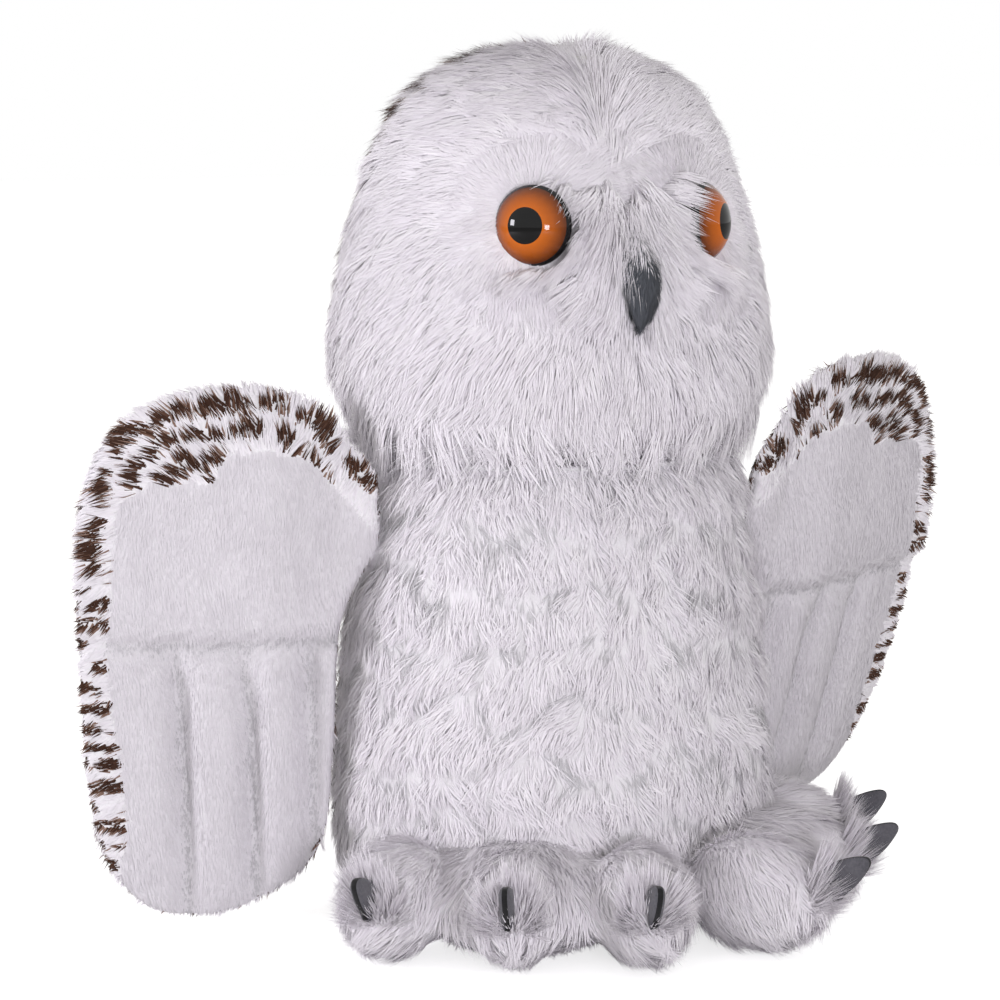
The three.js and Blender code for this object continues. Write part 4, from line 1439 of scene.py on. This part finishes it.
def makeWing(name, seedStep):
    w = wingSettings
    body = "wing_" + name
    place = wingPlace(name)
    skin, faces = wingSkin(body, place)
    middles = skin[faces].mean(axis=1)
    inFront = middles[:, 1] < 0
    points, picked = pickFaces(skin, faces, inFront)
    wrapped = wrapDepth(points[picked].mean(axis=1)) > 0
    makeCover(
        body + "_velour_cover", points, picked, [velourBacking, plushBacking], wrapped, body,
        [body + "_velour_panel"], "white_velour", w["fill"], place,
    )
    points, picked = pickFaces(skin, faces, ~inFront)
    behind = middles[~inFront]
    bars = isBar(wingShades(behind, behind[:, 1] < 0, behind[:, 1] < 0, np.random.default_rng(7)))
    makeCover(
        body + "_print_cover", points, picked, [plushBacking, brownBacking], bars, body,
        [body + "_print_panel"], "printed_plush", w["fill"], place,
    )

    # where the bars of the front face stop following the leading edge
    def isLower(roots):
        return roots[:, 2] < w["cornerHeight"] + 4 * wander(roots, 14, 64)

    # In front the pile points out over the nearest edge, behind it lies downwards; it is shorter at the
    # wing's lower end, on the outer strip and next to the body
    def combPrint(roots):
        lower, inFront = isLower(roots), roots[:, 1] < 0
        level = np.array([1, 0, -0.45])
        down = columns(0.9 * roots[:, 0] / wingForm["reach"], 0, -1)
        course = alongEdge(roots)[2]
        outwards = columns(-course[:, 2], 0, course[:, 0]) + 0.5 * course
        flow = np.where(inFront[:, None], np.where(lower[:, None], level, outwards), down)
        start, end = (-share * wingForm["drop"] for share in w["lowEnd"])
        shorter = 1 - w["lowShorter"] * smoothStep(start, end, roots[:, 2])
        shorter = shorter * (1 - w["stripShorter"] * (inFront & lower))
        offBody = smoothStep(2, 20, roots[:, 0] + 10 * (roots[:, 2] > -14))
        shorter = shorter * (w["rootShare"] + (1 - w["rootShare"]) * offBody)
        return {"flow": flow, "lengths": shorter}

    def printShades(strands, rng):
        roots = strands[0]
        return wingShades(strandMiddle(strands), roots[:, 1] < 0, isLower(roots), rng)

    growPile(
        body + "_print_pile", dict(wingBandPile, seed=wingBandPile["seed"] + seedStep), (skin, faces),
        lambda p: np.where(p[:, 1] > -0.3, 1, wrapDepth(p) > 0),
        combPrint, printShades, printPile, "printed_plush", body, True, place,
    )

    def combNap(roots):
        groove = grooveShare(roots)
        return {
            "flow": downFlow(roots, 63) * [0.4, 1, 1],
            "lengths": 1 - velourNap["grooveShorter"] * groove,
            "lifts": velourNap["grooveLift"] * groove,
        }

    def napShades(strands, rng):
        roots = strands[0]
        mixed = cellNoise(np.floor(roots / 4), 12) * 0.4 + rng.uniform(size=len(roots)) * 0.6
        # painted shade: strands on the seam and channel lines take the darker velour
        sewn = rng.uniform(size=len(roots)) < paintedSeamShade(roots)
        shade = np.where(sewn, 2, (mixed > 0.55).astype(int))
        return shade, shade

    growPile(
        body + "_velour_nap", dict(velourNap, seed=velourNap["seed"] + seedStep), (skin, faces),
        lambda p: (p[:, 1] < 0) * (wrapDepth(p) < 1.5),
        combNap, napShades, velourPile, "white_velour", body, True, place,
    )


for step, name in enumerate(sides):
    makeWing(name, 100 * step)
print("wings made")

tailForm = {
    "reach": 62,
    "halfWidth": 36,
    "nose": 5,
    "thickness": 9,
    "growth": 0.5,
    "hinge": (0, 68, 31),
    "droop": 20,
    "reaches": [-0.0893, 0.1, 0.3, 0.52, 0.74, 0.91, 1],
    "widths": [0.6, 0.7, 0.86, 1, 0.93, 0.58, 0.05],
    "rows": 48,
    "lanes": 40,
    "inset": 2.6,
    "edgeInset": 3,
    "swell": 1.5,
    "fill": 0.6,
    "pileFrom": -6,  # no roots nearer to the body
}
tailPile = dict(backPile, count=15000, length=8, lift=26, lay=12, seed=51)


def makeTail():
    s = tailForm
    line = columns(s["reaches"], s["widths"]) * [s["reach"], s["halfWidth"]]

    def half(x, z):
        return s["nose"] + (s["thickness"] - s["nose"]) * smoothStep(s["nose"], s["reach"] * s["growth"], x)

    skin, faces = padSkin(
        line, line * [1, -1], half, s["rows"], s["lanes"], s["inset"], s["inset"], s["edgeInset"],
    )
    skin = stuffSkin("tail", skin, faces, np.abs(skin[:, 1]) < 0.8, s["swell"])
    turn = turnAbout(2, 90) @ turnAbout(1, s["droop"]) @ turnAbout(0, 90)
    place = (turn, np.array(s["hinge"], float))
    above = skin[faces].mean(axis=1)[:, 1] > 0
    for label, mask, slotName in (("print", above, "printed_plush"), ("white", ~above, "white_plush")):
        points, picked = pickFaces(skin, faces, mask)
        makeCover(
            "tail_" + label + "_cover", points, picked, [plushBacking], None, "tail",
            ["tail_" + label + "_panel"], slotName, s["fill"], place,
        )

    # printed above and white below
    def tailShades(strands, rng):
        roots = strands[0]
        bars = barShades(roots[:, 2], -roots[:, 0], rng)
        white = whiteShades(roots, rng)
        isAbove = roots[:, 1] > -0.5
        return tuple(np.where(isAbove, bar, plain) for bar, plain in zip(bars, white))

    def combTail(roots):
        return {"flow": columns(1, 0, roots[:, 2] / s["halfWidth"])}

    growPile(
        "tail_pile", tailPile, (skin, faces), lambda p: p[:, 0] > s["pileFrom"],
        combTail, tailShades, printPile, "printed_plush", "tail", True, place,
    )


makeTail()
print("tail made")


# Feet and claws

footForm = {
    "ankle": (21, -34),
    "instepHalf": (36, 36, 19),
    "instepForward": 25,
    "toeHalf": (19, 26, 19.5),
    "toeForward": 42,
    "sideToeBack": 5,
    "toeSpacing": 36,
    "toeFan": 14,
    "turns": {"left": 57, "right": 29},
    "floorCut": 0.5,
    "lowest": 1.5,  # height of the cloth over the floor
    "pileFrom": 3,  # no roots below this height, where the cloth is pinned
    "underBody": 9,  # how far the pile reaches in under the body's outline
    "heel": (18, 26),  # the pile runs away from a point so far behind the instep's middle and so high
    "inset": 3.2,
    "voxel": 2.2,
    "smoothing": 3,
    "swell": 1.2,
    "fill": 0.8,
}
footPile = dict(
    count=15000, length=9, width=0.48, lift=12, lay=5, tuft=(7, 7, 7),
    gather=0.35, turn=18, ruffle=6, wild=4, seed=61,
)
# tufts that stand up in front of each claw's root: half width, place and half height of each patch
footCuff = dict(
    footPile, count=2800, length=11, lift=62, lay=58, gather=0.1, seed=63,
    halfWidth=8.5, above=3, halfHeight=6.5, forward=0.7,
)
clawForm = {
    "outline": [
        (-5.25, -4.5), (5.25, -4.5), (5.4, 0), (5.0, 6), (3.4, 11.6), (1.5, 13),
        (-0.6, 11.4), (-3.2, 6.6), (-5.25, 0),
    ],
    "thickness": 4.4,
    "lean": 48,
    "reachShare": 0.95,
    "rows": 17,
    "around": 54,
    "flatness": 0.6,  # below 1 it is flatter on its faces and rounder at its edge
    "edge": 0.35,  # share of the way out where the black edge begins
}
toeNames = {-1: "inner", 0: "middle", 1: "outer"}


# Turn and place of one toe in its foot; lane runs from -1 at the owl's middle to 1 at its outer side
def toePlace(lane):
    s = footForm
    turn = turnAbout(2, lane * s["toeFan"])
    forward = s["toeForward"] - abs(lane) * s["sideToeBack"]
    return turn, np.array([lane * s["toeSpacing"], -forward, s["toeHalf"][2] - s["floorCut"]])


# A foot's turn and shift, in the same way
def footPlace(name):
    side = sides[name]
    mirror = np.diag([side, 1, 1])
    turn = turnAbout(2, footForm["turns"][name])
    ankle = np.array([*footForm["ankle"], 0.0])
    return mirror @ turn, mirror @ ankle


# Ellipsoid: a unit sphere's rings stretched to the half sizes
def ellipsoid(half, rows=28, around=44):
    rise = np.linspace(0.06, math.pi - 0.06, rows)
    angle = roundAngles(around)
    x = np.sin(rise)[:, None] * np.cos(angle) * half[0]
    y = np.sin(rise)[:, None] * np.sin(angle) * half[1]
    z = -np.cos(rise)[:, None] * half[2]
    return closedTube(columns(x, y, z))


# The instep and three toes, joined into one skin by a remesh
def footSkin():
    s = footForm
    half = np.array(s["instepHalf"]) - s["inset"]
    points, faces = ellipsoid(half)
    shells = [(points + [0, -s["instepForward"], s["instepHalf"][2] - s["floorCut"]], faces)]
    for lane in toeNames:
        turn, spot = toePlace(lane)
        points, faces = ellipsoid(np.array(s["toeHalf"]) - s["inset"])
        shells.append((points @ turn.T + spot, faces))
    starts = np.cumsum([0] + [len(points) for points, faces in shells])
    joined = np.concatenate([points for points, faces in shells])
    joined[:, 2] = np.maximum(joined[:, 2], s["lowest"])
    allFaces = np.concatenate([faces + start for (points, faces), start in zip(shells, starts)])
    rough = makeMesh("foot_shells", joined, allFaces, [])
    remesh = rough.modifiers.new("one skin", "REMESH")
    remesh.mode = "VOXEL"
    remesh.voxel_size = s["voxel"] * metresPerMm
    mesh = rough.evaluated_get(bpy.context.evaluated_depsgraph_get()).to_mesh()
    points, faces = readPoints(mesh).astype(float) / metresPerMm, readTriangles(mesh)
    bpy.data.objects.remove(rough)
    return smoothed(*outward(points, faces), s["smoothing"])


# Each point moves half way to the mean of its neighbours, a few times
def smoothed(points, faces, times):
    edges = np.concatenate([faces[:, [0, 1]], faces[:, [1, 2]], faces[:, [2, 0]]])
    count = np.bincount(edges[:, 0], minlength=len(points))[:, None]
    for step in range(times):
        sums = [np.bincount(edges[:, 0], points[edges[:, 1], axis], len(points)) for axis in range(3)]
        mean = np.stack(sums, axis=1)
        points = points * 0.5 + mean / np.maximum(count, 1) * 0.5
    return points, faces


# Claw: a leaf outline drawn in to its middle on both faces. With a from 0 to pi, a ring is sin a of the
# way out and lies at the height (cos a)^flatness of half the thickness.
def clawMesh():
    s = clawForm
    outline = smoothCurve(s["outline"] + s["outline"][:1], np.linspace(0, 1, s["around"], endpoint=False))
    middle = outline.mean(axis=0)
    slope = np.linspace(0.12, math.pi - 0.12, s["rows"])
    out, height = np.sin(slope), np.cos(slope)
    height = np.sign(height) * np.abs(height) ** s["flatness"] * s["thickness"] / 2
    flat = middle + out[:, None, None] * (outline - middle)
    points, faces = closedTube(columns(-height[:, None], -flat[..., 0], flat[..., 1]))
    centred = points[faces].mean(axis=1)
    row = np.abs(centred[:, 0]) / (s["thickness"] / 2)
    return points, faces, row < s["edge"]


def makeFoot(name, seedStep):
    body = "foot_" + name
    place = footPlace(name)
    skin, faces = footSkinPoints
    cover = makeMesh(body + "_skin", skin, faces, [plushBacking], None, place)
    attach(cover, body)
    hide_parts(body + "_cover")

    turn, shift = place

    # on the outside only, not under the body or the foot
    def uncovered(p):
        world = p @ turn.T + shift
        depth = np.where(world[:, 1] < 0, bodyForm["front"], bodyForm["back"]) / bodyForm["halfWidth"]
        outside = np.hypot(world[:, 0], world[:, 1] / depth) > bodyForm["halfWidth"] - footForm["underBody"]
        return outside * (p[:, 2] > footForm["pileFrom"])

    # away from the heel and down
    def combFoot(roots):
        behind, high = footForm["heel"]
        heel = np.array([0, -footForm["instepForward"] + behind, high])
        return {"flow": unit(roots - heel) + [0, 0, -0.75]}

    growPile(
        body + "_pile", dict(footPile, seed=footPile["seed"] + seedStep), (skin, faces),
        uncovered, combFoot, body=body, place=place, **whiteCloth,
    )

    def belowClaws(p):
        weight = np.zeros(len(p))
        for lane in toeNames:
            toeTurn, toeSpot = toePlace(lane)
            local = (p - toeSpot) @ toeTurn
            front = -local[:, 1] / footForm["toeHalf"][1]
            inWidth = np.abs(local[:, 0]) < footCuff["halfWidth"]
            inHeight = np.abs(local[:, 2] - footCuff["above"]) < footCuff["halfHeight"]
            weight += inWidth * (front > footCuff["forward"]) * inHeight
        return weight

    growPile(
        body + "_cuff", dict(footCuff, seed=footCuff["seed"] + seedStep), (skin, faces), belowClaws,
        lambda roots: {"flow": np.array([0, 0, 1])}, body=body, place=place, **whiteCloth,
    )

    points, clawFaces, edge = clawMesh()
    for lane, label in toeNames.items():
        toeTurn, toeSpot = toePlace(lane)
        half = footForm["toeHalf"]
        rise = math.sqrt(1 - clawForm["reachShare"] ** 2) * half[2]
        stand = np.array([0, -clawForm["reachShare"] * half[1], rise])
        spot = points @ turnAbout(0, clawForm["lean"]).T + stand
        spot = spot @ toeTurn.T + toeSpot
        claw = makeMesh(
            "claw_cloth_" + name + "_" + label, spot, clawFaces, [clawCloth, clawEdge], edge, place,
        )
        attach(claw, body)
        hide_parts("claw_" + name + "_" + label)


footSkinPoints = footSkin()
grounded = footSkinPoints[0][:, 2] < footForm["pileFrom"]
footSkinPoints = (stuffSkin("foot", *footSkinPoints, grounded, footForm["swell"]), footSkinPoints[1])
for step, name in enumerate(sides):
    makeFoot(name, 100 * step)
print("feet made")


# What is inside

for name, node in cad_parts.items():
    if node.hide_render:
        continue
    node.data.materials.clear()
    if name == "pellet_pouch":
        node.data.materials.append(pouchCloth)
    elif "washer" in name:
        node.data.materials.append(washerPlastic)
    else:
        node.data.materials.append(fibreFill)


# Floor, lights and camera

studio = {
    "floorSize": 12,  # metres, as are the other lengths here
    "floorColour": (0.95, 0.95, 0.95),
    "floorGlow": 0.7,  # what the camera sees of the floor besides its light and shadow
    "world": 0.5,
    "worldColour": (1, 0.985, 0.965),
    "lampColour": (0.96, 0.93, 1),
    "key": {"turn": -96, "rise": 10, "distance": 1.2, "size": 0.23, "power": 4.9},
    "fill": {"turn": -9, "rise": 2, "distance": 1.25, "size": 0.23, "power": 5.05},
    "top": {"turn": -60, "rise": 62, "distance": 1.3, "size": 0.9, "power": 0.2},
}
view = {
    "turn": -23,  # degrees round the owl, towards its right
    "rise": 8,
    "distance": 1.0,
    "aside": 0.0154,  # how far the owl stands to the right of the picture's middle
    "height": 0.130,
    "lens": 112.5,
}

half = studio["floorSize"] / 2
floorMesh = bpy.data.meshes.new("floor")
corners = [(-half, -half, 0), (half, -half, 0), (half, half, 0), (-half, half, 0)]
floorMesh.from_pydata(corners, [], [(0, 1, 2, 3)])
floor = addObject("floor", floorMesh)
floorPaper, tree, shader = newMaterial("floor_paper")
seen = addNode(tree, "ShaderNodeLightPath", {}).outputs["Is Camera Ray"]
glow = addNode(tree, "ShaderNodeMath", {0: seen, 1: studio["floorGlow"]}, "MULTIPLY")
setInputs(tree, shader, {
    "Base Color": (*studio["floorColour"], 1),
    "Roughness": 0.9,
    "Specular IOR Level": 0,
    "Emission Color": (1, 1, 1, 1),
    "Emission Strength": glow.outputs["Value"],
})
floorMesh.materials.append(floorPaper)

world = bpy.data.worlds.new("studio")
bpy.context.scene.world = world
world.use_nodes = True
tree = world.node_tree
background = tree.nodes["Background"]
setInputs(tree, background, {"Color": (*studio["worldColour"], 1), "Strength": studio["world"]})
backdrop = addNode(tree, "ShaderNodeBackground", {"Color": (1, 1, 1, 1)})
path = addNode(tree, "ShaderNodeLightPath", {})
anySeen = path.outputs["Is Camera Ray"]
for ray in ("Is Glossy Ray", "Is Transmission Ray"):
    larger = addNode(tree, "ShaderNodeMath", {0: anySeen, 1: path.outputs[ray]}, "MAXIMUM")
    anySeen = larger.outputs["Value"]
either = addNode(tree, "ShaderNodeMixShader", {
    "Fac": anySeen, 1: background.outputs["Background"], 2: backdrop.outputs["Background"],
})
setInputs(tree, tree.nodes["World Output"], {"Surface": either.outputs["Shader"]})


def addLight(name, light):
    data = bpy.data.lights.new(name, "AREA")
    data.energy = light["power"]
    data.color = studio["lampColour"]
    data.shape = "SQUARE"
    data.size = light["size"]
    lamp = addObject(name, data)
    towards = lookingFrom(light["turn"], light["rise"])
    lamp.location = towards * light["distance"] + [0, 0, 0.16]
    lamp.rotation_euler = lookAlong(-towards)


# Unit vector towards a viewer who stands turn degrees round the owl and rise degrees up
def lookingFrom(turn, rise):
    a, e = math.radians(turn), math.radians(rise)
    return np.array([math.sin(a) * math.cos(e), -math.cos(a) * math.cos(e), math.sin(e)])


# Euler angles that point an object's -Z along a direction with its Y up
def lookAlong(direction):
    x, y, z = direction / np.linalg.norm(direction)
    return (math.acos(-z), 0, math.atan2(-x, y))


back = lookingFrom(view["turn"], view["rise"])
right = np.array([math.cos(math.radians(view["turn"])), math.sin(math.radians(view["turn"])), 0])
target = -right * view["aside"] + [0, 0, view["height"]]
camera = addObject("camera", bpy.data.cameras.new("camera"))
camera.data.lens = view["lens"]
camera.data.sensor_width = 36
camera.location = target + back * view["distance"]
camera.rotation_euler = lookAlong(-back)
bpy.context.scene.camera = camera
for name in ("key", "fill", "top"):
    addLight(name, studio[name])
bpy.context.scene.view_settings.view_transform = "Standard"
print("studio ready")
